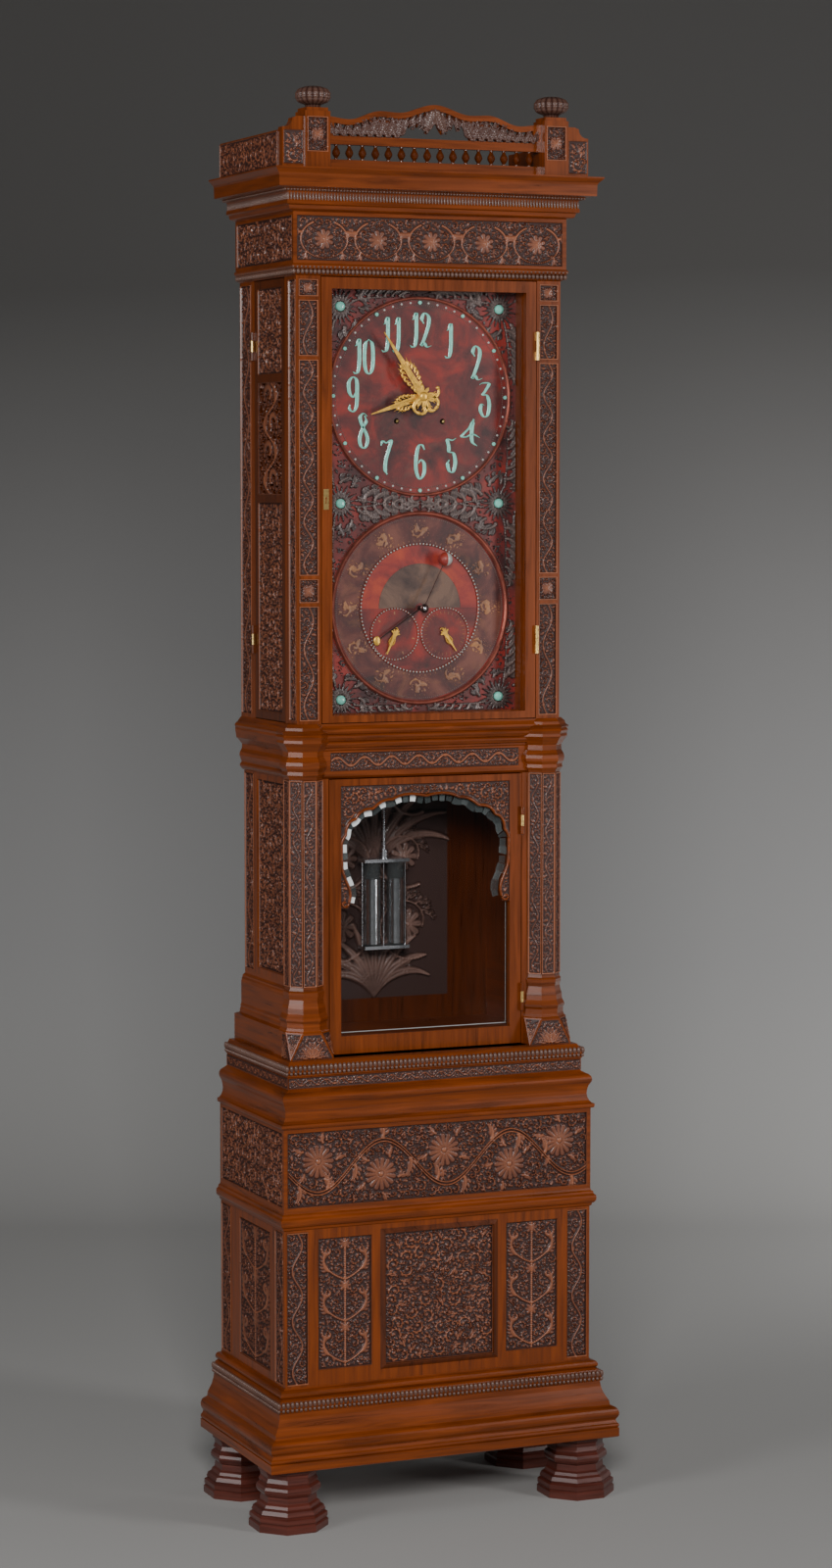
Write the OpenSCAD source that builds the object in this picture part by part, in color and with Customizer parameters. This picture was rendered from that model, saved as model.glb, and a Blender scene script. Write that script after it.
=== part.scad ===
// Tall case clock with a carved mahogany case, a glazed dial door and a glazed trunk door.
// Millimetres, +Z up, the clock faces -Y and stands on Z = 0 with its bounding box centred on the origin.

/* [Case] */
// Width of the case at its carved frieze
body_w = 600; // [520:10:680]
// Depth of the case at its carved frieze
body_d = 326; // [300:2:360]
// How far the base moulding stands out in front and at each side
base_over = 41; // [34:1:48]
// How far the upper trunk stands in from the frieze
upper_in = 45; // [40:1:50]
// How far the lower trunk's walls stand in from the frieze
lower_in = 50; // [46:1:56]
// Thickness of the lower trunk's side walls
trunk_wall = 18; // [14:1:22]
// Thickness of the backboard
backboard_t = 15; // [10:1:20]
// Thickness of the boards of the plinth and friezes
wall_t = 20; // [14:1:24]

/* [Heights] */
// Height of the feet
foot_h = 111; // [90:1:130]
// Height of the base moulding
base_h = 141.5; // [130:0.5:150]
// Height of the plinth
plinth_h = 282.5; // [240:0.5:320]
// Height of the moulding between plinth and carved frieze
belt_h = 33.5; // [30:0.5:36]
// Height of the carved frieze
frieze_h = 148; // [120:1:170]
// Height of the ogee moulding with its beads and carved band
ogee_h = 117; // [112:1:122]
// Height of the lower trunk's skirt, with the bases of the columns
skirt_h = 127; // [122:1:132]
// Height of the straight shafts of the columns
shaft_h = 369; // [320:1:420]
// Height of the middle cornice, with the capitals of the columns
middle_h = 99; // [97:1:104]
// Height of the upper trunk
upper_h = 786; // [770:1:800]
// Height of the upper frieze with its lower moulding
upper_frieze_h = 110; // [100:1:120]
// Height of the top cornice
cornice_h = 73.5; // [72:0.5:80]

/* [Columns] */
// Distance across the flats of the octagonal shafts
column_flats = 62; // [56:1:64]
// How far the shafts stand in from the frieze at each side
column_in = 36; // [34:1:40]
// How far the shafts stand in from the frieze in front
column_back = 42; // [38:1:46]
// Side of the square plinths under the columns
column_plinth = 83; // [80:1:85]
// How far the lower door's face stands behind the frieze's front
face_in = 61.5; // [60:0.5:64]

/* [Feet] */
// Distance across the flats of the octagonal feet
foot_flats = 131; // [110:1:140]

/* [Gallery] */
// Side of the square posts
gallery_post = 47; // [40:1:52]
// Height of the posts
gallery_post_h = 104; // [96:1:112]
// Distance between the centres of the posts
gallery_span = 457; // [440:1:470]
// Width of the gallery across its sides
gallery_w = 586; // [574:1:596]
// How far the gallery's front stands behind the frieze's front
gallery_in = 6.5; // [4:0.5:12]
// Height of the gallery's sides
gallery_side_h = 69; // [60:1:76]
// Number of spindles
spindle_count = 16; // [10:1:18]
// Greatest diameter of a spindle
spindle_d = 14.5; // [10:0.5:16]
// Height of the open band that holds the spindles
spindle_h = 26; // [22:1:30]
// Radius of a finial
finial_r = 32.5; // [28:0.5:34]

/* [Doors] */
// Clearance between a door and its frame
door_gap = 1.5; // [1:0.1:2.5]
// Width of the upper door's stiles and rails
upper_stile = 20; // [16:1:24]
// Thickness of the upper and lower doors
door_t = 20; // [16:1:22]
// Width of the lower door's stiles
lower_stile = 22; // [18:1:26]
// Height of the lower door's bottom rail
lower_rail = 32; // [26:1:38]
// Thickness of the glass
glass_t = 3; // [2:0.5:4]
// Thickness of the side doors
side_door_t = 16; // [12:1:18]
// Radius of a hinge knuckle
knuckle_r = 3.5; // [3:0.1:4.5]
// Height of a hinge
hinge_h = 50; // [36:1:64]

/* [Dial] */
// Height of the main dial's centre above the upper trunk's bottom
dial_z = 578.5; // [570:0.5:586]
// Height of the lower dial's centre above the upper trunk's bottom
calendar_z = 201; // [195:0.5:206]
// Radius of the ring of hour studs
stud_ring_r = 167; // [155:1:170]
// Radius of the main dial's moulded ring
main_ring_r = 175; // [172:1:178]
// Radius of the lower dial's moulded ring
calendar_ring_r = 170; // [160:1:174]
// Radius of the lower dial's beaded ring
inner_ring_r = 115; // [106:1:120]
// Radius of the two small dials
small_ring_r = 48; // [42:1:49]
// How far the dial board stands behind the upper trunk's front
dial_in = 47.5; // [44:0.5:52]
// Length of the minute hand
minute_len = 136; // [120:1:150]
// Length of the hour hand
hour_len = 104; // [90:1:112]
// Turn of the minute hand from twelve
minute_at = 326; // [0:1:359]
// Turn of the hour hand from twelve
hour_at = 252; // [0:1:359]

/* [Movement] */
// Distance of each winding square from the dial's centre, across
wind_x = 44.7; // [40:0.1:50]
// Distance of each winding square below the dial's centre
wind_z = 43.7; // [40:0.1:50]
// Teeth of the great wheels
great_teeth = 96; // [84:4:108]
// Teeth of the centre wheel
centre_teeth = 64; // [56:4:72]
// Teeth of the third wheel
third_teeth = 60; // [52:4:64]
// Leaves of the pinions
pinion_leaves = 8; // [8:1:8]
// Tooth module of the centre wheel
centre_mod = 1; // [0.9:0.05:1.1]
// Tooth module of the third wheel
third_mod = 0.9; // [0.8:0.05:1]
// Tip radius of the escape wheel
escape_r = 20; // [18:0.5:22]
// Height of the pallet arbor above the dial's centre
pallet_z = 70; // [66:0.5:74]
// Radius of the line barrels
barrel_r = 15; // [12:0.5:17]
// Thickness of the movement's plates
plate_t = 3.5; // [3:0.5:5]
// Clearance beside moving pieces
run = 0.3; // [0.2:0.05:0.4]
// Clearance of a pivot in its hole
fit = 0.06; // [0.02:0.01:0.09]

/* [Pendulum] */
// Distance from the suspension to the middle of the mercury
pendulum_l = 1011; // [990:1:1020]
// Radius of each mercury jar
jar_r = 17; // [14:0.5:20]
// Height of each mercury jar
jar_h = 155; // [130:1:170]
// Distance of the pendulum's plane from the backboard
pendulum_off = 49.5; // [44:0.5:56]
// Distance between the pendulum's plane and the movement's back plate
crutch_reach = 37; // [34:1:40]
// Radius of the weights
weight_r = 30; // [24:1:32]
// Length of the weights
weight_h = 180; // [150:5:200]

/* [Hidden] */

$fn = 64;
e = 0.01;

// Planes of the case. The back is flat and every layer meets it.
back_y = (body_d + base_over) / 2;
front_y = back_y - body_d;
board_y = back_y - backboard_t;
half_w = body_w / 2;
upper_half = half_w - upper_in;
upper_front = front_y + upper_in;
lower_half = half_w - lower_in;
inner_half = lower_half - trunk_wall;

// Levels of the layers
z_base = foot_h;
z_plinth = z_base + base_h;
z_belt = z_plinth + plinth_h;
z_frieze = z_belt + belt_h;
z_ogee = z_frieze + frieze_h;
z_skirt = z_ogee + ogee_h;
z_shaft = z_skirt + skirt_h;
z_middle = z_shaft + shaft_h;
z_upper = z_middle + middle_h;
z_top_frieze = z_upper + upper_h;
z_cornice = z_top_frieze + upper_frieze_h;
z_top = z_cornice + cornice_h;
floor_t = 18;

// Columns
column_a = column_flats / 2;
column_x = half_w - column_in - column_a;
column_y = front_y + column_back + column_a;
face_y = front_y + face_in;
face_t = 20;
jamb_w = 13;

// Upper posts and doors
post_w = 46;
post_d = 56;
rear_post_d = 72.5;
door_half = upper_half - post_w - door_gap;
door_y = upper_front;
door_z0 = z_upper + door_gap;
door_z1 = z_top_frieze - door_gap;
lower_half_door = column_x - column_a - jamb_w - door_gap;
lower_z0 = z_skirt + door_gap;
lower_z1 = z_middle - door_gap;
side_y1 = back_y - rear_post_d - door_gap;
side_y0 = upper_front + post_d + door_gap;
pin_r = 1.6;

// Dial and movement
dial_y = upper_front + dial_in;
dial_board_t = 4;
zc = z_upper + dial_z;
zk = z_upper + calendar_z;
small_x = 49;
small_z = zk - 46;
pendulum_y = board_y - pendulum_off;
plate_front = dial_y + 28;
plate_back = pendulum_y - crutch_reach;
plate_gap = plate_back - plate_front;
plate_half = 110;
plate_low = 108;
plate_high = 98;
jar_x = 23.5;
seat_t = 20;
z_seat = zc - plate_low - seat_t;

// Wheel work. All angles are measured in the dial's plane, from +X towards +Z.
great_dist = sqrt(wind_x * wind_x + wind_z * wind_z);
great_mod = 2 * great_dist / (great_teeth + pinion_leaves);
centre_dist = centre_mod * (centre_teeth + pinion_leaves) / 2;
third_dist = third_mod * (third_teeth + pinion_leaves) / 2;
escape_z = pallet_z - escape_r * sqrt(2);
third_z = (centre_dist * centre_dist - third_dist * third_dist + escape_z * escape_z) / (2 * escape_z);
third_x = sqrt(centre_dist * centre_dist - third_z * third_z);
going_at = [wind_x, -wind_z];
strike_at = [-wind_x, -wind_z];
third_at = [third_x, third_z];
escape_at = [0, escape_z];
pin_teeth = 64;
strike_mod = 1;
strike_teeth = great_teeth - 12;
pin_dist = strike_mod * (strike_teeth + pinion_leaves) / 2;
pin_shift = 10;
pin_at = [strike_at[0] - pin_shift, strike_at[1] + sqrt(pin_dist * pin_dist - pin_shift * pin_shift)];
pin_ring_r = 25.7;
cannon_teeth = 40;
cannon_mod = 0.8;
cannon_dist = cannon_teeth * cannon_mod;
hour_teeth = 96;
hour_mod = 2 * cannon_dist / (hour_teeth + pinion_leaves);
minute_wheel_at = [0, -cannon_dist];
y_great = plate_front + 10;
y_centre = plate_front + plate_gap / 2;
y_third = y_centre - 16;
y_escape = plate_front + 16;
y_strike = plate_back - 12;
y_cannon = dial_y + 16;
y_hour = dial_y + 10;
drum_y0 = plate_front + 17;
drum_l = plate_gap - 48;
pivot_r = 1.5;
arbor_r = 2.5;

wood = [0.45, 0.17, 0.08];
carved = [0.26, 0.12, 0.09];
brass = [0.78, 0.60, 0.28];
steel = [0.62, 0.63, 0.66];
gilt = [0.95, 0.72, 0.25];
lacquer = [0.36, 0.07, 0.06];
turquoise = [0.36, 0.75, 0.64];
clear = [0.80, 0.88, 0.90, 0.35];

// Points of an arc in a moulding's section: centre, radius, first and last angle
function arc(c, r, a0, a1, n = 6) =
    [for (i = [0 : n]) [c[0] + r * cos(a0 + (a1 - a0) * i / n), c[1] + r * sin(a0 + (a1 - a0) * i / n)]];

// Sections of the mouldings: [how far it stands out, height above the layer's bottom], bottom to top
base_section = concat(
    [[base_over - 2, 0], [base_over, 1.5], [base_over, 17]],
    arc([base_over - 5, 22], 5, -60, 60, 4),
    [[base_over - 5, 31], [base_over - 4, 34]],
    arc([base_over - 14, 44], 14, -30, 50, 5),
    [[28, 58], [27, 66], [24, 71], [19, 80], [15.5, 91], [14, 101], [16.5, 102]],
    arc([11, 112], 7, -70, 70, 4),
    [[12, 121.5], [10, 123]],
    arc([4.5, 131.5], 7, -70, 70, 5),
    [[0, 139], [0, base_h]]
);
belt_section = [
    [-1, 0], [1.5, 2], [2.5, 6], [6, 8.5], [8, 12], [8.5, 17], [8, 21], [4.5, 24], [4, 28], [1, 30], [0, belt_h]
];
ogee_section = concat(
    [[0, 0], [4.5, 1.5], [5.5, 4], [5.5, 8.5], [1.5, 10]],
    [[-2, 14], [-4.5, 20], [-5.5, 26], [-5, 33], [-3, 41]],
    arc([-9, 53], 11, -35, 75, 6),
    [[-13, 67.5], [-14, 69], [-14, 90], [-12, 91.5], [-12, 94]],
    arc([-18, 102.5], 8, -60, 60, 4),
    [[-16, 112], [-19, 117]]
);
skirt_section = [
    [-column_in + 7, 0], [-column_in + 7, 47], [-39, 49], [-40, 55], [-41, 58], [-41, 62], [-42.5, 66],
    [-42.5, 105], [-43.5, 111], [-45, 114.5], [-45, 117], [-50, 121], [-lower_in, skirt_h]
];
middle_section = [
    [-49, 0], [-45, 3], [-41.5, 8], [-41.5, 11], [-45, 15], [-43, 21], [-40.8, 27], [-41.5, 33],
    [-45.5, 40], [-45.8, 48], [-41, 54], [-35, 60], [-34, 66], [-32.5, 75], [-33, 79], [-31.4, 83],
    [-33, 86], [-38, 90], [-39.5, 93], [-45, middle_h]
];
// The same cornice between the capitals, measured from the frieze's front
middle_front_section = [
    [-68, 0], [-64.5, 4], [-64.5, 49], [-62, 51], [-62, 54], [-57, 56], [-54, 61], [-54, 64], [-56, 66],
    [-52, 68], [-48, 73], [-47, 77], [-49, 79], [-45, 81], [-42, 85], [-42, 89], [-44, 91], [-47, 95],
    [-47, middle_h]
];
upper_frieze_section = [
    [-45, 0], [-41.2, 2.5], [-41.2, 10], [-36, 12], [-34, 15], [-34, 18], [-37, 20.5], [-37, upper_frieze_h]
];
cornice_section = concat(
    [[-37, 0], [-28, 2.5], [-26, 4], [-24, 10], [-19, 12]],
    arc([-9, 25.5], 13, 215, 140, 5),
    [[-13, 36], [-11.5, 38], [3.8, 40], [4.4, 59.5], [6, 63], [11, 68]],
    [[14, 71], [14, cornice_h]]
);
// Half widths of an octagonal piece: [distance from axis to flat, height]
foot_section = [
    [65.5, 0], [65.5, 12], [63, 15], [64.5, 18], [64.5, 25], [60, 28], [61, 31], [58, 38], [53, 41], [51, 46],
    [47, 49], [46, 60], [50, 63], [53, 68], [53.5, 73], [52, 78], [47.5, 82], [49, 86], [46, 93], [47, 100],
    [50, 103], [50, foot_h]
];
column_base_section = [
    [column_plinth / 2, 0], [column_plinth / 2, 46], [42.4, 48], [40, 50], [38, 55], [37.9, 64], [40, 68],
    [40, 72], [37.5, 77], [36, 80], [35.5, 90], [33.5, 96], [32, 105], [33.5, 112], [34, 118], [32, 121],
    [column_a, skirt_h]
];
capital_section = [
    [column_a, 0], [32.6, 5], [35.7, 9], [34.5, 15], [38, 21], [38.7, 26], [38, 32], [33.5, 41], [33.5, 50],
    [39.2, 60], [43.5, 66], [42.5, 71], [45, 76.5], [42.8, 80], [46.5, 84], [40.4, 88], [39.2, 93], [33, middle_h]
];

// A layer of the case: a box whose front and two sides carry the section, mitred at the corners.
// front is where the section's zero stands in front, half where it stands at the sides.
module moulded(section, z, front = front_y, half = half_w) {
    n = len(section);
    reach = body_w;
    intersection() {
        translate([-reach, 0, z]) rotate([90, 0, 90]) linear_extrude(2 * reach)
            polygon(concat(
                [[back_y, section[n - 1][1]], [back_y, section[0][1]]],
                [for (q = section) [front - q[0], q[1]]]
            ));
        translate([0, back_y, z]) rotate([90, 0, 0]) linear_extrude(reach)
            polygon(concat(
                [for (q = section) [half + q[0], q[1]]],
                [for (i = [n - 1 : -1 : 0]) [-half - section[i][0], section[i][1]]]
            ));
    }
}

// An octagonal moulded piece standing on its axis. corner gives other half widths across the corners' flats.
module octagonal(section, corner = []) {
    other = len(corner) > 0 ? corner : section;
    intersection_for(k = [0 : 3]) {
        s = k % 2 == 0 ? section : other;
        n = len(s);
        rotate([0, 0, 45 * k]) translate([0, 2 * s[0][0], 0]) rotate([90, 0, 0])
            linear_extrude(4 * s[0][0])
                polygon(concat(
                    [for (q = s) [q[0], q[1]]],
                    [for (i = [n - 1 : -1 : 0]) [-s[i][0], s[i][1]]]
                ));
    }
}

// A box between two corners
module block(low, high) {
    translate(low) cube(high - low);
}

// Both sides of the clock: the children and their mirror image
module both() {
    children();
    mirror([1, 0, 0]) children();
}

// A flat piece drawn in the dial's plane, between two depths
module facing(y0, t) {
    translate([0, y0 + t, 0]) rotate([90, 0, 0]) linear_extrude(t) children();
}

// A round bar along Y
module bar(r, y0, y1, at = [0, 0]) {
    translate([at[0], y1, at[1]]) rotate([90, 0, 0]) cylinder(r = r, h = y1 - y0);
}

// Feet
module feet() {
    x = half_w + base_over - foot_flats / 2 + 8;
    for (y = [front_y - base_over + foot_flats / 2, back_y - foot_flats / 2])
        both() color(carved) translate([x, y, 0])
            octagonal([for (q = foot_section) [q[0] * foot_flats / 131, q[1] * foot_h / 111]]);
}

// Base, plinth and carved frieze
module base_moulding() {
    color(wood) difference() {
        moulded(base_section, z_base);
        block([-half_w + wall_t + 8, front_y + wall_t + 8, z_base + wall_t],
              [half_w - wall_t - 8, back_y - wall_t, z_plinth + e]);
    }
}

plinth_front = front_y + 1;
plinth_half = half_w - 1;
stile_w = 46;
panel_gap = 0.3;
panel_in = 12;
panel_t = 9;
panel_z0 = z_plinth + 28;
panel_z1 = z_belt - 18;
// Shares of the half width: centre and half width of each front panel
front_panels = [for (q = [[-0.61, 0.17167], [0, 0.35333], [0.61, 0.17167]]) q * half_w];
panel_frame = 9;
panel_frame_h = 3.5;
side_panel_y0 = plinth_front + 71;
side_panel_y1 = back_y - 99;

module plinth_case() {
    color(wood) difference() {
        block([-plinth_half, plinth_front, z_plinth], [plinth_half, back_y, z_belt]);
        block([-plinth_half + wall_t, plinth_front + wall_t, z_plinth - e],
              [plinth_half - wall_t, back_y - wall_t, z_belt + e]);
        for (p = front_panels)
            block([p[0] - p[1], plinth_front - e, panel_z0], [p[0] + p[1], plinth_front + panel_in, panel_z1]);
        both() block([plinth_half - panel_in, side_panel_y0, panel_z0 - 12],
                     [plinth_half + e, side_panel_y1, panel_z1 + 4]);
        // shallow fields for the carved stiles
        both() {
            block([half_w - stile_w, plinth_front - e, z_plinth + 4], [half_w - 6, plinth_front + 3, z_belt - 4]);
            block([plinth_half - 3, plinth_front + 5, z_plinth + 4],
                  [plinth_half + e, plinth_front + 45, z_belt - 4]);
            block([plinth_half - 3, back_y - 52, z_plinth + 4], [plinth_half + e, back_y - 4, z_belt - 4]);
        }
    }
}

// A bevelled frame stands round the middle panel
module panel_moulding(x, z0, z1, w, h) {
    y = plinth_front;
    difference() {
        intersection() {
            translate([0, 0, z0 - w]) linear_extrude(z1 - z0 + 2 * w)
                polygon([[-x - w, y], [x + w, y], [x + 2, y - h], [-x - 2, y - h]]);
            translate([-x - w, 0, 0]) rotate([90, 0, 90]) linear_extrude(2 * x + 2 * w)
                polygon([[y, z0 - w], [y, z1 + w], [y - h, z1 + 2], [y - h, z0 - 2]]);
        }
        block([-x, y - 2 * h, z0], [x, y + 1, z1]);
    }
}

module plinth_panels() {
    color(wood) panel_moulding(front_panels[1][1] + 0.3, panel_z0, panel_z1, panel_frame, panel_frame_h);
    for (p = front_panels)
        color(carved) block(
            [p[0] - p[1] + panel_gap, plinth_front + panel_in - panel_t, panel_z0 + panel_gap],
            [p[0] + p[1] - panel_gap, plinth_front + panel_in, panel_z1 - panel_gap]);
    both() color(carved) block(
        [plinth_half - panel_in, side_panel_y0 + panel_gap, panel_z0 - 12 + panel_gap],
        [plinth_half - panel_in + panel_t, side_panel_y1 - panel_gap, panel_z1 + 4 - panel_gap]);
}

// The carved frieze and the belt moulding that it stands on
module big_frieze() {
    field = 3;
    margin = 7;
    color(carved) difference() {
        union() {
            moulded(belt_section, z_belt);
            block([-half_w, front_y, z_frieze], [half_w, back_y, z_ogee]);
        }
        block([-half_w + wall_t, front_y + wall_t, z_belt - e], [half_w - wall_t, back_y - wall_t, z_ogee + e]);
        block([-half_w + margin, front_y - e, z_frieze + margin],
              [half_w - margin, front_y + field, z_ogee - margin]);
        both() block([half_w - field, front_y + margin, z_frieze + margin],
                     [half_w + e, back_y - margin, z_ogee - margin]);
    }
}

module ogee_moulding() {
    color(wood) difference() {
        moulded(ogee_section, z_ogee);
        block([-half_w + 2 * wall_t, front_y + 2 * wall_t, z_ogee - e],
              [half_w - 2 * wall_t, back_y - wall_t, z_skirt + e]);
    }
}

// Foot of the lower trunk: its floor, its skirt and the octagonal bases with broach stops under the columns
module trunk_base() {
    broach = concat([[column_plinth / 2 * sqrt(2), 0]],
                    [for (i = [2 : len(column_base_section) - 1]) column_base_section[i]]);
    jamb_x = column_x - column_a;
    color(wood) {
        difference() {
            union() {
                both() translate([column_x, column_y, z_skirt]) octagonal(column_base_section, broach);
                difference() {
                    moulded(skirt_section, z_skirt);
                    block([-body_w, front_y - base_over, z_skirt - e], [body_w, column_y, z_shaft + e]);
                }
            }
            block([-inner_half, face_y + face_t, z_skirt - e], [inner_half, back_y + e, z_shaft + e]);
            block([-jamb_x, face_y, z_skirt - e], [jamb_x, face_y + face_t + e, z_shaft + e]);
        }
        block([-inner_half, face_y + face_t, z_skirt], [inner_half, back_y, z_skirt + floor_t]);
    }
}

module columns() {
    both() color(carved) translate([column_x, column_y, z_shaft]) rotate([0, 0, 22.5])
        cylinder(r = column_a / cos(22.5), h = shaft_h, $fn = 8);
}

// Lower trunk's side walls, each with a sunk panel and a carved rear pilaster
module lower_sides() {
    y0 = column_y + column_a;
    both() color(wood) difference() {
        block([inner_half, y0, z_shaft], [lower_half, back_y, z_middle]);
        block([lower_half - 6, y0 + 16, z_shaft + 12], [lower_half + e, back_y - 66, z_middle - 12]);
        block([lower_half - 3, back_y - 48, z_shaft + 4], [lower_half + e, back_y - 4, z_middle - 4]);
    }
}

// Narrow jambs between the columns and the lower door
module lower_jambs() {
    both() color(wood) block([column_x - column_a - jamb_w, face_y, z_skirt],
                             [column_x - column_a, face_y + face_t, z_middle]);
}

// Middle cornice with its carved strip and the capitals of the columns
module middle_cornice() {
    n = len(middle_front_section);
    cap_x = column_x - column_a;
    inner_y = upper_front + post_d;
    strip_z = [13, 46];
    color(wood) difference() {
        union() {
            difference() {
                moulded(middle_section, z_middle);
                block([-body_w, front_y - base_over, z_middle - e], [body_w, column_y, z_upper + e]);
            }
            both() translate([column_x, column_y, z_middle]) octagonal(capital_section);
            translate([-column_x, 0, z_middle]) rotate([90, 0, 90]) linear_extrude(2 * column_x)
                polygon(concat(
                    [[inner_y, middle_h], [inner_y, 0]],
                    [for (q = middle_front_section) [front_y - q[0], q[1]]]
                ));
        }
        block([-inner_half, inner_y, z_middle - e], [inner_half, back_y + e, z_upper + e]);
        block([-cap_x + 18, front_y, z_middle + strip_z[0]],
              [cap_x - 18, front_y + 64.5 + 3, z_middle + strip_z[1]]);
    }
}

module backboard() {
    color(wood) block([-inner_half, board_y, z_skirt + floor_t], [inner_half, back_y, z_cornice]);
}

// Upper trunk: four corner posts, with sunk fields for their carving
// Heights of the narrow bars between the front posts' carved fields, above the upper trunk's bottom
post_bars = [3, 0.2684 * upper_h, 0.3295 * upper_h, 0.818 * upper_h, upper_h - 39, upper_h - 3];
post_bar_h = 6;

module corner_posts() {
    field = 3;
    x0 = upper_half - post_w;
    both() color(wood) {
        difference() {
            block([x0, upper_front, z_upper], [upper_half, upper_front + post_d, z_top_frieze]);
            for (k = [1 : len(post_bars) - 1])
                block([x0 + 4.5, upper_front - e, z_upper + post_bars[k - 1] + post_bar_h / 2],
                      [upper_half - 4.5, upper_front + field, z_upper + post_bars[k] - post_bar_h / 2]);
            block([upper_half - field, upper_front + 4, z_upper + 6],
                  [upper_half + e, upper_front + 36, z_top_frieze - 6]);
        }
        difference() {
            block([inner_half, back_y - rear_post_d, z_upper], [upper_half, back_y, z_top_frieze]);
            block([upper_half - field, back_y - 55, z_upper + 6], [upper_half + e, back_y - 4, z_top_frieze - 6]);
        }
    }
}

// Upper frieze and top cornice
module upper_frieze() {
    field = 3;
    margin = 7;
    color(carved) difference() {
        moulded(upper_frieze_section, z_top_frieze);
        block([-inner_half, upper_front + wall_t, z_top_frieze - e], [inner_half, back_y + e, z_cornice + e]);
        block([-half_w + 37 + margin, front_y, z_top_frieze + 26],
              [half_w - 37 - margin, front_y + 37 + field, z_cornice - 6]);
        both() block([half_w - 37 - field, front_y + 37 + margin, z_top_frieze + 26],
                     [half_w, back_y - margin, z_cornice - 6]);
    }
}

module top_cornice() {
    color(wood) difference() {
        moulded(cornice_section, z_cornice);
        block([-inner_half, upper_front + wall_t, z_cornice - e], [inner_half, board_y, z_top - 18]);
    }
}

// Gallery
gallery_y = front_y + gallery_in;
post_x = gallery_span / 2;
gallery_t = 14;

module gallery_frame() {
    ear_x0 = post_x + gallery_post / 2;
    ear_x1 = gallery_w / 2;
    both() color(wood) {
        difference() {
            block([post_x - gallery_post / 2, gallery_y, z_top],
                  [post_x + gallery_post / 2, gallery_y + gallery_post, z_top + gallery_post_h - 6]);
            block([post_x - 19, gallery_y - e, z_top + 28], [post_x + 19, gallery_y + 3, z_top + 88]);
        }
        block([post_x - gallery_post / 2 + 3, gallery_y + 3, z_top + gallery_post_h - 6],
              [post_x + gallery_post / 2 - 3, gallery_y + gallery_post - 3, z_top + gallery_post_h]);
        facing(gallery_y + 4, 20) polygon(concat(
            [[ear_x0, z_top], [ear_x1, z_top], [ear_x1, z_top + gallery_side_h]],
            arc([ear_x1 - 3, z_top + gallery_side_h + 16], 16, 270, 180, 5),
            [[ear_x0 + 14, z_top + gallery_side_h + 19], [ear_x0, z_top + gallery_side_h + 19]]
        ));
        block([ear_x1 - gallery_t, gallery_y + 24, z_top], [ear_x1, back_y - 3, z_top + gallery_side_h - 4]);
    }
}

// A lobed melon on a short neck
module finials() {
    lobes = 16;
    neck = 5;
    melon_h = 33;
    steps = 6;
    both() color(carved) translate([post_x, gallery_y + gallery_post / 2, z_top + gallery_post_h]) intersection() {
        rotate_extrude() polygon(concat(
            [[0, 0], [18, 0], [18, 3], [14, neck]],
            [for (a = [-60 : 15 : 75]) [finial_r * pow(cos(a), 0.6), neck + melon_h / 2 * (1 + sin(a))]],
            [[0, neck + melon_h]]
        ));
        linear_extrude(neck + melon_h) polygon([for (i = [0 : lobes * steps - 1])
            let (r = finial_r * (0.93 + 0.07 * abs(sin(180 * i / steps))), a = 360 * i / lobes / steps)
            r * [cos(a), sin(a)]]);
    }
}

// Height of the crest rail's serpentine top at a distance from the middle, as a share of the half span
function crest_top(s) =
    s < 0.34 ? 102 + 16 * (1 + cos(180 * s / 0.34)) / 2
    : s < 0.5 ? 102 + 1.5 * (1 - cos(180 * (s - 0.34) / 0.16)) / 2
    : s < 0.8 ? 103.5 - 16.5 * (1 - cos(180 * (s - 0.5) / 0.3)) / 2
    : 87 + 4 * (1 - cos(180 * (s - 0.8) / 0.2)) / 2;

rail_y = gallery_y + gallery_post / 2 - gallery_t / 2;
rail_z = z_top + 17 + spindle_h;
rail_h = 15;
crest_rim = 10;
crest_foliage_in = 3;
crest_foliage_t = 8;

crest_leaf_w = 8;

// A leaf from a point, at an angle
module leaf_from(at, a, l, w = crest_leaf_w) {
    translate(at) rotate([0, 0, a])
        polygon([[-1, -w * 0.2], [l * 0.3, -w / 2], [l * 0.7, -w * 0.4], [l, 0], [l * 0.7, w * 0.4],
                 [l * 0.3, w / 2], [-1, w * 0.2]]);
}

// Serpentine crest rail over pierced foliage, with an open arch on each side of the middle leaves
module gallery_crest() {
    span = post_x - gallery_post / 2;
    steps = 60;
    top = [for (i = [-steps : steps]) [span * i / steps, z_top + crest_top(abs(i) / steps)]];
    low = rail_z + rail_h;
    color(wood) {
        facing(rail_y, gallery_t) {
            polygon(concat(top, [for (i = [len(top) - 1 : -1 : 0]) [top[i][0], top[i][1] - crest_rim]]));
            // middle and base rails
            translate([-span, rail_z]) square([2 * span, rail_h]);
            translate([-span, z_top]) square([2 * span, rail_z - spindle_h - z_top]);
            // end blocks
            for (s = [-1, 1]) translate([s * (span - 7) - 7, rail_z]) square([14, 87 + z_top - rail_z - 6]);
        }
        facing(rail_y + crest_foliage_in, crest_foliage_t) for (s = [-1, 1]) {
            // pairs of leaves that spring from the middle rail and cross
            for (k = [0 : 7], d = [-1, 1]) {
                share = 0.93 - 0.082 * k;
                rise = z_top + crest_top(share) - crest_rim - low;
                run = 0.55 * rise;
                leaf_from([s * span * share, low - 1], atan2(rise + 4, d * run), norm([rise + 4, run]));
            }
            // leaves that hang from the crest rail over the open arch
            for (k = [0 : 4]) {
                share = 0.31 - 0.06 * k;
                under = z_top + crest_top(share) - crest_rim + 2;
                leaf_from([s * span * share, under], 270 + s * (40 - 9 * k), 22 + 2 * k);
            }
            leaf_from([s * 4, z_top + 110], 270 + s * 14, 44, 12);
        }
    }
}

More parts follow.
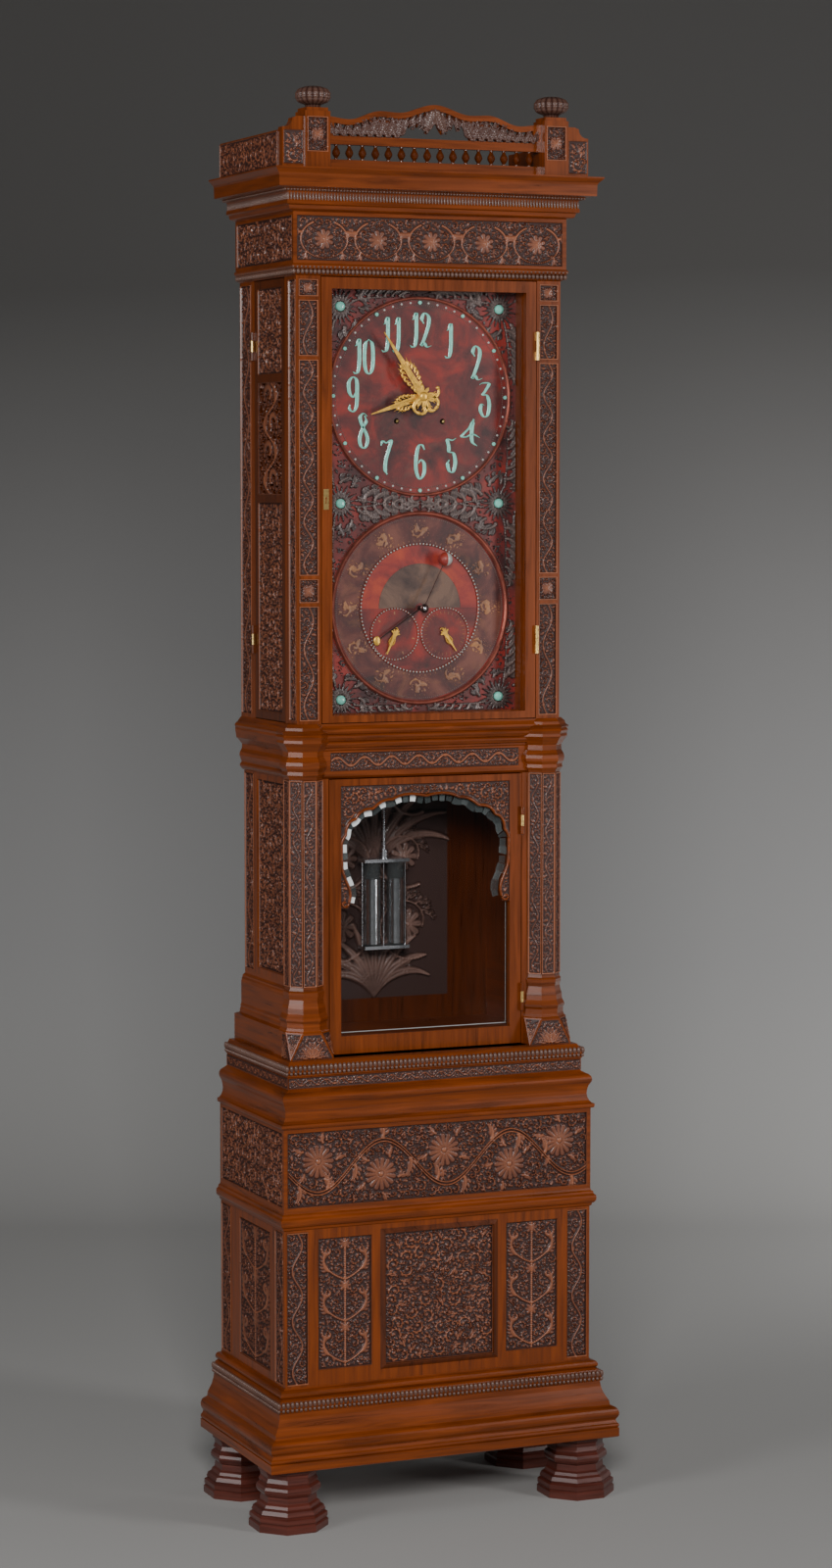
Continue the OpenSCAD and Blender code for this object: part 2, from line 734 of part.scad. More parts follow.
module gallery_spindles() {
    span = post_x - gallery_post / 2;
    pitch = 2 * span / (spindle_count + 0.6);
    r = spindle_d / 2;
    for (i = [0 : spindle_count - 1])
        color(carved) translate([(i - (spindle_count - 1) / 2) * pitch, rail_y + gallery_t / 2, z_top + 17])
            rotate_extrude($fn = 24) polygon([
                [0, 0], [3.5, 0], [3.5, 2], [2.5, 3], [r * 0.8, spindle_h * 0.3], [r, spindle_h * 0.45],
                [r * 0.86, spindle_h * 0.6], [r * 0.45, spindle_h - 5], [2.5, spindle_h - 3],
                [3.5, spindle_h - 2], [3.5, spindle_h], [0, spindle_h]
            ]);
}

// Dial
module dial_surround() {
    x1 = upper_half - post_w;
    x0 = door_half - upper_stile + 1;
    color(wood) difference() {
        block([-x1, door_y + door_t + door_gap, z_upper], [x1, dial_y, z_top_frieze]);
        block([-x0, door_y, door_z0 + upper_stile - 6], [x0, dial_y + e, door_z1 - upper_stile + 1]);
    }
}

module dial_plate() {
    x1 = upper_half - post_w;
    color(lacquer) difference() {
        block([-x1, dial_y, z_upper], [x1, dial_y + dial_board_t, z_top_frieze]);
        bar(6.5, dial_y - 1, dial_y + 6, [0, zc]);
        bar(5, dial_y - 1, dial_y + 6, [wind_x, zc - wind_z]);
        bar(5, dial_y - 1, dial_y + 6, [-wind_x, zc - wind_z]);
        bar(pipe_r + fit, dial_y - 1, dial_y + 6, [0, zk]);
        bar(2 + fit, dial_y - 1, dial_y + 6, [small_x, small_z]);
        bar(2 + fit, dial_y - 1, dial_y + 6, [-small_x, small_z]);
    }
}

// A ring that lies on the dial: centre radius, width, height
module dial_ring(r, w, h, at) {
    translate([at[0], dial_y, at[1]]) rotate([90, 0, 0]) rotate_extrude($fn = 96)
        polygon([[r - w / 2, 0], [r + w / 2, 0], [r + w / 2, h * 0.5], [r + w / 6, h], [r - w / 6, h],
                 [r - w / 2, h * 0.5]]);
}

module dial_rings() {
    color(carved) {
        dial_ring(main_ring_r, 6, 5, [0, zc]);
        dial_ring(calendar_ring_r, 8, 6, [0, zk]);
        dial_ring(inner_ring_r, 3, 2.5, [0, zk]);
        dial_ring(small_ring_r - 2, 3, 2, [small_x, small_z]);
        dial_ring(small_ring_r - 2, 3, 2, [-small_x, small_z]);
    }
}

// Turquoise studs at the hours and in the six corner flowers
boss_x = 154;
boss_z = [zc + 157.5, (zc + zk) / 2 - 1.5, zk - 162];

module dial_studs() {
    color(turquoise) {
        for (k = [0 : 11])
            translate([stud_ring_r * sin(30 * k), dial_y, zc + stud_ring_r * cos(30 * k)]) rotate([90, 0, 0])
                cylinder(r = 3.2, h = 2.5, $fn = 24);
        for (z = boss_z) both() translate([boss_x, dial_y, z]) rotate([90, 0, 0])
            rotate_extrude($fn = 24) polygon([[0, 0], [8.5, 0], [8.5, 4], [7.5, 6.5], [4.5, 8.6], [0, 9.5]]);
    }
}

// Hands. Each is drawn pointing up from its centre.
module hand_outline(l, w) {
    polygon([[-0.7, l], [0.7, l], [w * 0.28, l * 0.52], [w * 0.5, l * 0.5], [w * 0.32, l * 0.42],
             [w * 0.36, l * 0.2], [w * 0.55, l * 0.14], [w * 0.4, 0], [-w * 0.4, 0], [-w * 0.55, l * 0.14],
             [-w * 0.36, l * 0.2], [-w * 0.32, l * 0.42], [-w * 0.5, l * 0.5], [-w * 0.28, l * 0.52]]);
    circle(r = w * 0.62);
    for (a = [110 : 35 : 250])
        rotate([0, 0, a]) polygon([[-w * 0.16, 0], [w * 0.16, 0], [w * 0.2, w * 1.1], [0, w * 1.35],
                                   [-w * 0.2, w * 1.1]]);
}

hand_t = 1.6;
y_hour_hand = dial_y - 12;
y_minute_hand = dial_y - 18;

module minute_hand() {
    color(gilt) translate([0, 0, zc]) {
        facing(y_minute_hand - hand_t, hand_t) rotate([0, 0, -minute_at]) difference() {
            hand_outline(minute_len, 16);
            circle(r = arbor_r + fit);
        }
        bar(4.5, y_minute_hand - 4, y_minute_hand - hand_t);
    }
}

module hour_hand() {
    color(gilt) translate([0, 0, zc]) {
        facing(y_hour_hand - hand_t, hand_t) rotate([0, 0, -hour_at]) difference() {
            hand_outline(hour_len, 15);
            circle(r = 5 - e);
        }
        difference() {
            bar(5, y_hour_hand - hand_t, y_hour + 3);
            bar(3 + fit, y_hour_hand - 5, y_hour + 5);
        }
        facing(y_hour, 3) difference() {
            rotate([0, 0, -90]) toothed(hour_teeth, hour_mod);
            circle(r = 5 - e);
        }
    }
}

// Hands of the two small dials, each on an arbor with its wheel behind the dial
small_t = 1.2;
y_small_hand = dial_y - 2.5;
y_small_wheel = dial_y + dial_board_t + 4;

module small_hand(x, turn) {
    color(gilt) translate([x, 0, small_z]) {
        facing(y_small_hand - small_t, small_t) rotate([0, 0, -turn]) hand_outline(39, 7);
        bar(2, y_small_hand - small_t - 0.4, y_small_wheel);
    }
}

module day_hand() {
    points = 7;
    small_hand(-small_x, 204);
    color(brass) translate([-small_x, 0, small_z]) facing(y_small_wheel, 2)
        polygon([for (i = [0 : 2 * points - 1])
            (i % 2 == 0 ? 16 : 9) * [cos(i * 180 / points), sin(i * 180 / points)]]);
}

module date_hand() {
    teeth = 31;
    small_hand(small_x, 146);
    color(brass) translate([small_x, 0, small_z]) facing(y_small_wheel, 2)
        polygon([for (i = [0 : teeth - 1], k = [0, 1])
            (k == 0 ? 30 : 27) * [cos((i + k * 0.12) * 360 / teeth), sin((i + k * 0.12) * 360 / teeth)]]);
}

// Arms of the lower dial: the flat gilt sun on the outer pipe, the moon ball on the arbor through it
pipe_r = 4.7;
moon_r = 12.4;
moon_at = 97.5;
sun_at = 103;
y_sun = y_small_hand - small_t - 0.5;
y_moon = y_sun - 2.5 - moon_r;

module sun_arm() {
    color(gilt) translate([0, 0, zk]) {
        difference() {
            bar(pipe_r, y_sun - 2, y_small_wheel);
            bar(arbor_r + fit, y_sun - 5, y_small_wheel + 5);
        }
        rotate([0, 236, 0]) {
            translate([-1, y_sun - 1.6, pipe_r - 0.5]) cube([2, 1.2, sun_at - pipe_r - 5]);
            translate([0, y_sun, sun_at]) rotate([90, 0, 0]) rotate_extrude($fn = 32)
                polygon([[0, 0], [7, 0], [7, 0.6], [5.5, 1.5], [3, 2], [0, 2]]);
        }
    }
}

module moon_arm() {
    color(steel) translate([0, 0, zk]) {
        bar(arbor_r, y_moon - 2, y_small_wheel + 4);
        rotate([0, 26, 0]) {
            translate([0, y_moon, 0]) cylinder(r = 0.9, h = moon_at - moon_r + 1);
            translate([0, y_moon, moon_at]) sphere(r = moon_r, $fn = 48);
        }
        translate([0, y_moon - 2, 0]) rotate([90, 0, 0]) rotate_extrude($fn = 48)
            polygon([[0, 0], [8, 0], [8, 1.5], [5.5, 2.5], [5, 4], [0, 5.5]]);
    }
}

// Wheels. A wheel's tooth and a pinion's gap both lie on the line between the two centres.
// tooth shares: half width at root, pitch and tip, as shares of the pitch angle
function tooth_points(n, m, root, pitch, tip, ded, add) = [
    for (i = [0 : n - 1], q = [[-root, -ded], [-pitch, 0], [-tip, add], [tip, add], [pitch, 0], [root, -ded]])
        let (a = (i + q[0]) * 360 / n, r = n * m / 2 + q[1] * m) r * [cos(a), sin(a)]
];

module toothed(n, m) {
    polygon(tooth_points(n, m, 0.3, 0.22, 0.1, 1.4, 1));
}

module leaves(n, m) {
    polygon(tooth_points(n, m, 0.14, 0.16, 0.08, 1.35, 0.75));
}

// A wheel with four crossings, its hole, and one tooth on the line at the angle turn
module wheel(n, m, turn, hole) {
    r = n * m / 2;
    rim = r - 5.5 * m;
    hub = hole + 5;
    spoke = 2;
    difference() {
        rotate([0, 0, turn]) toothed(n, m);
        circle(r = hole);
        for (k = [0 : 3]) rotate([0, 0, 90 * k])
            intersection() {
                difference() {
                    circle(r = rim);
                    circle(r = hub);
                }
                translate([spoke, spoke]) square(rim);
            }
    }
}

function angle_to(a, b) = atan2(b[1] - a[1], b[0] - a[0]);

// An arbor between the plates with a pivot at each end
module arbor(at, r = arbor_r) {
    bar(r, plate_front + plate_t + run, plate_back - run, at);
    bar(pivot_r, plate_front, plate_back + plate_t, at);
}

centre_at = [0, 0];

module centre_arbor() {
    color(brass) translate([0, 0, zc]) {
        bar(arbor_r, y_minute_hand - hand_t, plate_back - run);
        bar(pivot_r, plate_back - run, plate_back + plate_t);
        bar(3, y_minute_hand, y_cannon + 3);
        facing(y_cannon, 3) difference() {
            rotate([0, 0, -90]) toothed(cannon_teeth, cannon_mod);
            circle(r = arbor_r);
        }
        facing(y_great - 1, 6) difference() {
            rotate([0, 0, angle_to(centre_at, going_at) + 180 / pinion_leaves]) leaves(pinion_leaves, great_mod);
            circle(r = arbor_r - e);
        }
        facing(y_centre, 3) wheel(centre_teeth, centre_mod, angle_to(centre_at, third_at), arbor_r - e);
    }
}

module minute_wheel() {
    color(brass) translate([0, 0, zc]) translate([minute_wheel_at[0], 0, minute_wheel_at[1]]) {
        facing(y_cannon, 3) difference() {
            rotate([0, 0, 90 + 180 / cannon_teeth]) toothed(cannon_teeth, cannon_mod);
            circle(r = 1.2 - e);
        }
        facing(y_hour - 1, y_cannon - y_hour + 1) difference() {
            rotate([0, 0, 90 + 180 / pinion_leaves]) leaves(pinion_leaves, hour_mod);
            circle(r = 1.2 - e);
        }
        bar(1.2, y_hour - 1, plate_front + plate_t);
        bar(3, y_cannon + 3, plate_front - run);
    }
}

module going_great_wheel() {
    color(brass) translate([going_at[0], 0, zc + going_at[1]])
        facing(y_great, 4) wheel(great_teeth, great_mod, angle_to(going_at, centre_at), 5 + fit);
}

module strike_great_wheel() {
    color(brass) translate([strike_at[0], 0, zc + strike_at[1]])
        facing(y_strike, 4) wheel(strike_teeth, strike_mod, angle_to(strike_at, pin_at), 5 + fit);
}

// A line barrel with its ratchet flange, winding square and the line wound on it
module barrel(at) {
    color(brass) translate([at[0], 0, zc + at[1]]) {
        bar(5, plate_front + plate_t + run, plate_back - run);
        bar(3, plate_front, plate_back + plate_t);
        bar(barrel_r, drum_y0, drum_y0 + drum_l);
        bar(barrel_r + 4, drum_y0, drum_y0 + 2);
        bar(barrel_r + 4, drum_y0 + drum_l - 2, drum_y0 + drum_l);
        translate([-2.1, dial_y - 3, -2.1]) cube([4.2, plate_front - dial_y + 3 + e, 4.2]);
    }
}

module going_barrel() barrel(going_at);

module strike_barrel() barrel(strike_at);

module third_wheel() {
    color(brass) translate([0, 0, zc]) {
        arbor(third_at);
        translate([third_at[0], 0, third_at[1]]) {
            facing(y_centre - 2, 7) difference() {
                rotate([0, 0, angle_to(third_at, centre_at) + 180 / pinion_leaves]) leaves(pinion_leaves, centre_mod);
                circle(r = arbor_r - e);
            }
            facing(y_third, 2.5) wheel(third_teeth, third_mod, angle_to(third_at, escape_at), arbor_r - e);
        }
    }
}

module escape_wheel() {
    n = 30;
    color(brass) translate([0, 0, zc]) {
        arbor(escape_at, 2);
        translate([escape_at[0], 0, escape_at[1]]) {
            facing(y_third - 2, 7) difference() {
                rotate([0, 0, angle_to(escape_at, third_at) + 180 / pinion_leaves]) leaves(pinion_leaves, third_mod);
                circle(r = 2 - e);
            }
            facing(y_escape, 2.5) rotate([0, 0, 90]) difference() {
                polygon([for (i = [0 : n - 1], q = [[0, 1], [0.12, 0.985], [0.42, 0.84], [0.82, 0.84]])
                    let (a = -(i + q[0]) * 360 / n, r = escape_r * q[1]) r * [cos(a), sin(a)]]);
                circle(r = 2 - e);
                for (k = [0 : 3]) rotate([0, 0, 90 * k]) intersection() {
                    difference() {
                        circle(r = escape_r * 0.72);
                        circle(r = 6);
                    }
                    translate([1.5, 1.5]) square(escape_r);
                }
            }
        }
    }
}

// Pallets on their arbor, with the crutch that steers the pendulum
crutch_l = 120;

module pallets() {
    color(steel) translate([0, 0, zc + pallet_z]) {
        bar(2, plate_front + plate_t + run, plate_back - run);
        bar(pivot_r, plate_front, plate_back + plate_t + 6);
        facing(y_escape - 1, 4) difference() {
            union() {
                polygon([[-22, -14.5], [-13, -2], [0, 4.5], [13, -2], [22, -14.5], [17.4, -15.8], [10.5, -7],
                         [0, -3.5], [-10.5, -7], [-17.4, -15.8]]);
                circle(r = 5);
            }
            circle(r = 2 - e);
        }
        translate([0, plate_back + plate_t + 3, 0]) {
            translate([-2.5, 0, -crutch_l]) cube([5, 3, crutch_l]);
            translate([-7, 3, -crutch_l]) difference() {
                cube([14, pendulum_y - plate_back - plate_t - 6 + 5, 5]);
                translate([7 - 4 - run, pendulum_y - plate_back - plate_t - 6 - 4 - run, -1])
                    cube([8 + 2 * run, 20, 7]);
            }
        }
    }
}

// Movement frame, seatboard and suspension
module movement_plates() {
    holes = [centre_at, third_at, escape_at, [0, pallet_z], pin_at];
    color(brass) translate([0, 0, zc]) {
        for (y = [plate_front, plate_back]) facing(y, plate_t) difference() {
            translate([-plate_half, -plate_low]) square([2 * plate_half, plate_low + plate_high]);
            for (h = holes) translate(h) circle(r = (h == centre_at && y == plate_front ? arbor_r : pivot_r) + fit);
            for (h = [going_at, strike_at]) translate(h) circle(r = 3 + fit);
            if (y == plate_front) translate(minute_wheel_at) circle(r = 1.2 + fit);
            translate(hammer_at) circle(r = pivot_r + fit);
        }
        for (x = [-1, 1], z = [-plate_low + 10, plate_high - 10])
            bar(5, plate_front + plate_t, plate_back, [x * (plate_half - 7), z]);
        // studs on the back plate that hold the far ends of the lines
        for (x = [-1, 1]) bar(3, weight_y - 5, plate_back, [x * (far_x + line_r + run + 3), -wind_z]);
    }
}

module seatboard() {
    y0 = upper_front + post_d;
    color(wood) {
        difference() {
            block([-inner_half, dial_y + 20, z_seat], [inner_half, plate_back + 14, z_seat + seat_t]);
            for (s = [-1, 1], x = [near_x, far_x])
                translate([s * x, weight_y, z_seat - 1]) cylinder(r = 6, h = seat_t + 2);
        }
        both() block([upper_half - post_w, y0, z_seat - 24], [inner_half, back_y - 50, z_seat]);
    }
}

module suspension_bracket() {
    z = zc + pallet_z;
    color(steel) {
        block([-30, board_y - 6, z - 20], [30, board_y, z + 40]);
        block([-12, pendulum_y - 10, z + 8], [12, board_y - 6 + e, z + 20]);
        block([-spring_t, pendulum_y - 5, z], [spring_t, pendulum_y + 5, z + 8 + e]);
    }
}

bell_z = plate_high + 12;
bell_r = 45;
bell_y = (plate_front + plate_back) / 2;
stand_x = 14;

module bell() {
    crown = zc + bell_z + 33;
    color(steel) {
        translate([0, bell_y, zc + bell_z]) rotate_extrude() polygon([
            [0, 30], [10, 30], [24, 26], [34, 15], [42, 2], [bell_r - 1, 0], [bell_r, 0], [bell_r - 1, 3], [36, 17],
            [26, 28.5], [11, 33], [0, 33]
        ]);
        block([stand_x, plate_back + plate_t, zc + 40], [stand_x + 10, plate_back + plate_t + 4, crown + 5]);
        block([-6, bell_y - 6, crown], [stand_x + 10, plate_back + plate_t + 4, crown + 5]);
    }
}

hammer_at = [-70, 38];
tail_l = norm(hammer_at - pin_at) - pin_ring_r - 2;

module pin_wheel() {
    color(brass) translate([0, 0, zc]) {
        arbor(pin_at);
        translate([pin_at[0], 0, pin_at[1]]) {
            facing(y_strike - 1, 6) difference() {
                rotate([0, 0, angle_to(pin_at, strike_at) + 180 / pinion_leaves]) leaves(pinion_leaves, strike_mod);
                circle(r = arbor_r - e);
            }
            facing(y_strike - 9, 2.5) wheel(pin_teeth, 0.9, 0, arbor_r - e);
            for (k = [0 : 7]) rotate([0, 45 * k + 22.5, 0]) bar(1.2, y_strike - 14, y_strike - 9, [pin_ring_r, 0]);
        }
    }
}

module hammer() {
    color(steel) translate([0, 0, zc]) {
        arbor(hammer_at, 2);
        translate([hammer_at[0], 0, hammer_at[1]]) {
            facing(y_strike - 20, 4) polygon([[-3, -4], [3, -4], [2.5, 75], [-2.5, 75]]);
            translate([0, y_strike - 18, 80]) rotate([0, 90, 0]) cylinder(r = 6, h = 26, center = true);
            // tail that the pins lift; it stops just short of their circle
            facing(y_strike - 14, 4) rotate([0, 0, angle_to(hammer_at, pin_at)])
                polygon([[0, -4], [tail_l, -1.5], [tail_l, 1.5], [0, 4]]);
        }
    }
}

// Pendulum: rod, frame with two glass jars, mercury. It bends at the middle of its spring.
spring_t = 0.3;
jar_z0 = zc + pallet_z - pendulum_l - jar_h * 0.42;

module pendulum_rod() {
    top = zc + pallet_z;
    color(steel) {
        translate([0, pendulum_y, jar_z0 + jar_h + 22]) cylinder(r = 4, h = top - 12 - jar_z0 - jar_h - 22);
        // suspension spring and its chops
        block([-spring_t, pendulum_y - 5, top - 12], [spring_t, pendulum_y + 5, top - 0.1]);
        // stirrup that holds the jars
        for (z = [jar_z0 - 6, jar_z0 + jar_h])
            block([-jar_x - jar_r - 4, pendulum_y - jar_r - 1, z], [jar_x + jar_r + 4, pendulum_y + jar_r + 1, z + 6]);
        for (x = [-jar_x - jar_r - 2.5, 0, jar_x + jar_r + 2.5])
            translate([x, pendulum_y, jar_z0 - e]) cylinder(r = 1.5, h = jar_h + 2 * e);
        translate([0, pendulum_y, jar_z0 + jar_h + 6 - e]) cylinder(r = 9, h = 16 + 2 * e);
    }
}

module pendulum_jars() {
    both() color(clear) translate([jar_x, pendulum_y, jar_z0]) difference() {
        cylinder(r = jar_r, h = jar_h);
        translate([0, 0, 3]) cylinder(r = jar_r - 2, h = jar_h);
    }
}

module mercury() {
    both() color(steel) translate([jar_x, pendulum_y, jar_z0 + 3]) cylinder(r = jar_r - 2, h = jar_h * 0.78);
}

// Driving weights on their pulleys
line_r = 0.8;
pulley_r = 16;
weight_z = z_seat - 60 - weight_h;
weight_x = wind_x + barrel_r + 2 * line_r + run + pulley_r;
weight_y = drum_y0 + drum_l / 2;
near_x = weight_x - pulley_r - line_r;
far_x = weight_x + pulley_r + line_r;

module weight(side) {
    pz = weight_z + weight_h + 32;
    translate([side * weight_x, weight_y, 0]) {
        color(brass) translate([0, 0, weight_z]) cylinder(r = weight_r, h = weight_h);
        color(steel) {
            difference() {
                translate([-5, -6, weight_z + weight_h - e]) cube([10, 12, 46]);
                translate([-20, -3, weight_z + weight_h + 12]) cube([40, 6, 60]);
            }
            translate([0, 2.5, pz]) rotate([90, 0, 0]) difference() {
                cylinder(r = pulley_r + 1, h = 5);
                translate([0, 0, 2.5]) rotate_extrude() translate([pulley_r + 1, 0]) circle(r = 1.6, $fn = 16);
            }
            translate([0, 6, pz]) rotate([90, 0, 0]) cylinder(r = 2, h = 12);
        }
    }
}

module going_weight() weight(1);

module strike_weight() weight(-1);

module line(side) {
    pz = weight_z + weight_h + 32;
    color("black") for (x = [near_x, far_x])
        translate([side * x, weight_y, pz]) cylinder(r = line_r, h = zc - wind_z - pz);
}

module going_line() line(1);

module strike_line() line(-1);

// Doors
upper_pin = [door_half + door_gap / 2 + 0.5, door_y - knuckle_r - 0.5];
lower_pin = [lower_half_door + door_gap / 2, face_y - knuckle_r - 0.5];
side_pin = [upper_half + knuckle_r + 0.5, side_y1 + door_gap / 2];
upper_hinge_z = [z_upper + 0.15 * upper_h, z_upper + 0.82 * upper_h];
lower_hinge_z = [lower_z0 + 60, lower_z1 - 110];

module upper_door_frame() {
    lip = 4;
    color(wood) difference() {
        block([-door_half, door_y, door_z0], [door_half, door_y + door_t, door_z1]);
        block([-door_half + upper_stile, door_y - e, door_z0 + upper_stile - 7],
              [door_half - upper_stile, door_y + door_t + e, door_z1 - upper_stile]);
        block([-door_half + upper_stile - lip, door_y + 12, door_z0 + upper_stile - 7 - lip],
              [door_half - upper_stile + lip, door_y + door_t + e, door_z1 - upper_stile + lip]);
    }
}

module upper_door_glass() {
    lip = 4 - 0.3;
    color(clear) block([-door_half + upper_stile - lip, door_y + 12, door_z0 + upper_stile - 7 - lip],
                       [door_half - upper_stile + lip, door_y + 12 + glass_t, door_z1 - upper_stile + lip]);
}

// Knuckles and leaf of a butt hinge, on the door's side, and its pin with the case's knuckles
module door_knuckles(pin, z, dir) {
    difference() {
        union() {
            translate([pin[0], pin[1], z]) cylinder(r = knuckle_r, h = hinge_h * 0.3);
            translate([pin[0], pin[1], z + hinge_h * 0.7]) cylinder(r = knuckle_r, h = hinge_h * 0.3);
            for (z0 = [z, z + hinge_h * 0.7])
                block([min(pin[0], pin[0] + dir[0]), min(pin[1], pin[1] + dir[1]), z0],
                      [max(pin[0], pin[0] + dir[0]), max(pin[1], pin[1] + dir[1]), z0 + hinge_h * 0.3]);
        }
        translate([pin[0], pin[1], z - 1]) cylinder(r = pin_r + 0.05, h = hinge_h + 2);
    }
}

module case_knuckle(pin, z, dir) {
    translate([pin[0], pin[1], z]) cylinder(r = pin_r, h = hinge_h);
    translate([pin[0], pin[1], z + hinge_h * 0.3 + run]) cylinder(r = knuckle_r, h = hinge_h * 0.4 - 2 * run);
    block([min(pin[0], pin[0] + dir[0]), min(pin[1], pin[1] + dir[1]), z + hinge_h * 0.3 + run],
          [max(pin[0], pin[0] + dir[0]), max(pin[1], pin[1] + dir[1]), z + hinge_h * 0.7 - run]);
}

leaf = knuckle_r + 0.5;

module case_hinges() {
    color(brass) {
        for (z = upper_hinge_z) case_knuckle(upper_pin, z, [3, leaf]);
        for (z = lower_hinge_z) case_knuckle(lower_pin, z, [3, leaf]);
        for (s = [-1, 1], z = upper_hinge_z)
            case_knuckle([s * side_pin[0], side_pin[1]], z, [-s * leaf, 3]);
    }
}

lock_z = z_upper + upper_h / 2 + 5;

module upper_door_fittings() {
    color(brass) {
        for (z = upper_hinge_z) door_knuckles(upper_pin, z, [-4, leaf]);
        // escutcheon with its keyhole
        difference() {
            block([-door_half + 3, door_y - 1.2, lock_z - 20], [-door_half + 13, door_y, lock_z + 16]);
            bar(1.8, door_y - 3, door_y + 1, [-door_half + 8, lock_z]);
            block([-door_half + 7.2, door_y - 3, lock_z - 10], [-door_half + 8.8, door_y + 1, lock_z]);
        }
    }
}

module lower_door_frame() {
    lip = 4;
    x = lower_half_door - lower_stile;
    color(wood) difference() {
        block([-lower_half_door, face_y, lower_z0], [lower_half_door, face_y + door_t, lower_z1]);
        block([-x, face_y - e, lower_z0 + lower_rail], [x, face_y + door_t + e, lower_z1 - 12]);
        block([-x - lip, face_y + 12, lower_z0 + lower_rail - lip],
              [x + lip, face_y + door_t + e, lower_z1 - 12 + lip]);
    }
    color(brass) for (z = lower_hinge_z) door_knuckles(lower_pin, z, [-4, leaf]);
}

module lower_door_glass() {
    lip = 4 - 0.3;
    x = lower_half_door - lower_stile;
    color(clear) block([-x - lip, face_y + 12, lower_z0 + lower_rail - lip],
                       [x + lip, face_y + 12 + glass_t, lower_z1 - 12 + lip]);
}

// Carved arch in the lower door: a board cut to a many-lobed arch that ends in two curled drops
fret_t = 8;
fret_drop = 222;

// Edge of the arch's right half, from the crown to the curled drop: [share of the half width, depth below the top]
arch_edge = [[0, 22], [0.35, 25], [0.56, 38], [0.76, 52], [0.885, 70], [0.965, 100], [0.985, 143], [0.95, 165],
             [0.905, 182], [0.89, 196], [0.905, 209]];
foils = 5;
foil_h = 4.5;
foil_end = 0.58;

// A smooth curve through the arch's points, at a share t of its length
function arch_at(t) =
    let (n = len(arch_edge) - 1, i = min(floor(t * n), n - 1), f = t * n - i, b = arch_edge[i], c = arch_edge[i + 1],
         a = i == 0 ? [-c[0], c[1]] : arch_edge[i - 1], d = arch_edge[min(i + 2, n)])
    0.5 * (2 * b + (c - a) * f + (2 * a - 5 * b + 4 * c - d) * f * f + (3 * b - a - 3 * c + d) * f * f * f);

// Points of the arch's edge with its foils, for a half width x and a top at the height top
function foiled(x, top, n = 88) = [for (i = [0 : n])
    let (t = i / n, p = arch_at(t), q = arch_at(min(t + 0.002, 1)), r = arch_at(max(t - 0.002, 0)),
         run = [x * (q[0] - r[0]), r[1] - q[1]], out = [-run[1], run[0]] / norm(run),
         b = t < foil_end ? foil_h * abs(sin(180 * foils * t / foil_end)) : 0)
    [min(x * p[0] + b * out[0], x - 1.5), top - p[1] + b * out[1]]];

module arch_fret() {
    x = lower_half_door - lower_stile - 0.3;
    top = lower_z1 - 12 - 0.3;
    edge = foiled(x, top);
    low = edge[len(edge) - 1];
    color(carved) facing(face_y + 3, fret_t) {
        difference() {
            translate([-x, top - fret_drop + 13]) square([2 * x, fret_drop - 13]);
            polygon(concat(edge, [for (i = [len(edge) - 1 : -1 : 1]) [-edge[i][0], edge[i][1]]]));
            translate([-low[0], top - fret_drop]) square([2 * low[0], 40]);
        }
        // the curled ends of the two drops
        for (s = [-1, 1]) translate([s * (x - 7.5), top - fret_drop + 11]) circle(r = 7.5, $fn = 32);
    }
}

// Side doors: a frame with a carved panel above and below a pierced sound fret
module side_door(s) {
    x0 = upper_half - side_door_t;
    rail = 14;
    fret_z0 = z_upper + 0.514 * upper_h;
    fret_z1 = z_upper + 0.7685 * upper_h;
    y0 = side_y0 + rail;
    y1 = side_y1 - rail;
    scale([s, 1, 1]) color(wood) {
        difference() {
            block([x0, side_y0, door_z0], [upper_half, side_y1, door_z1]);
            block([upper_half - 6, y0, door_z0 + rail], [upper_half + e, y1, fret_z0 - rail]);
            block([upper_half - 6, y0, fret_z1 + rail], [upper_half + e, y1, door_z1 - rail]);
            block([x0 - e, y0, fret_z0], [upper_half + e, y1, fret_z1]);
        }
        // pierced fret: a lattice of crossed bars
        translate([x0 + 6, 0, 0]) rotate([90, 0, 90]) linear_extrude(6) intersection() {
            translate([y0 - 1, fret_z0 - 1]) square([y1 - y0 + 2, fret_z1 - fret_z0 + 2]);
            for (k = [-9 : 9], d = [-1, 1])
                translate([(y0 + y1) / 2 + k * 26, (fret_z0 + fret_z1) / 2]) rotate([0, 0, 38 * d])
                    square([6, 400], center = true);
        }
        for (z = upper_hinge_z) door_knuckles(side_pin, z, [-leaf, -4]);
    }
}

module side_door_left() side_door(-1);

module side_door_right() side_door(1);

feet();
base_moulding();
plinth_case();
plinth_panels();
big_frieze();
ogee_moulding();
trunk_base();
columns();
lower_sides();
lower_jambs();
middle_cornice();
backboard();
corner_posts();
upper_frieze();
top_cornice();
gallery_frame();
finials();
gallery_crest();
gallery_spindles();
dial_surround();
dial_plate();
dial_rings();
dial_studs();
seatboard();
movement_plates();
suspension_bracket();
bell();
case_hinges();
upper_door_frame();
upper_door_glass();
upper_door_fittings();
lower_door_frame();
arch_fret();
lower_door_glass();
side_door_left();
side_door_right();
centre_arbor();
minute_hand();
hour_hand();
minute_wheel();
going_great_wheel();
going_barrel();
third_wheel();
escape_wheel();
pallets();
pendulum_rod();
pendulum_jars();
mercury();
going_weight();
strike_weight();
going_line();
strike_line();
strike_great_wheel();
strike_barrel();
pin_wheel();
hammer();
day_hand();
date_hand();
moon_arm();
sun_arm();
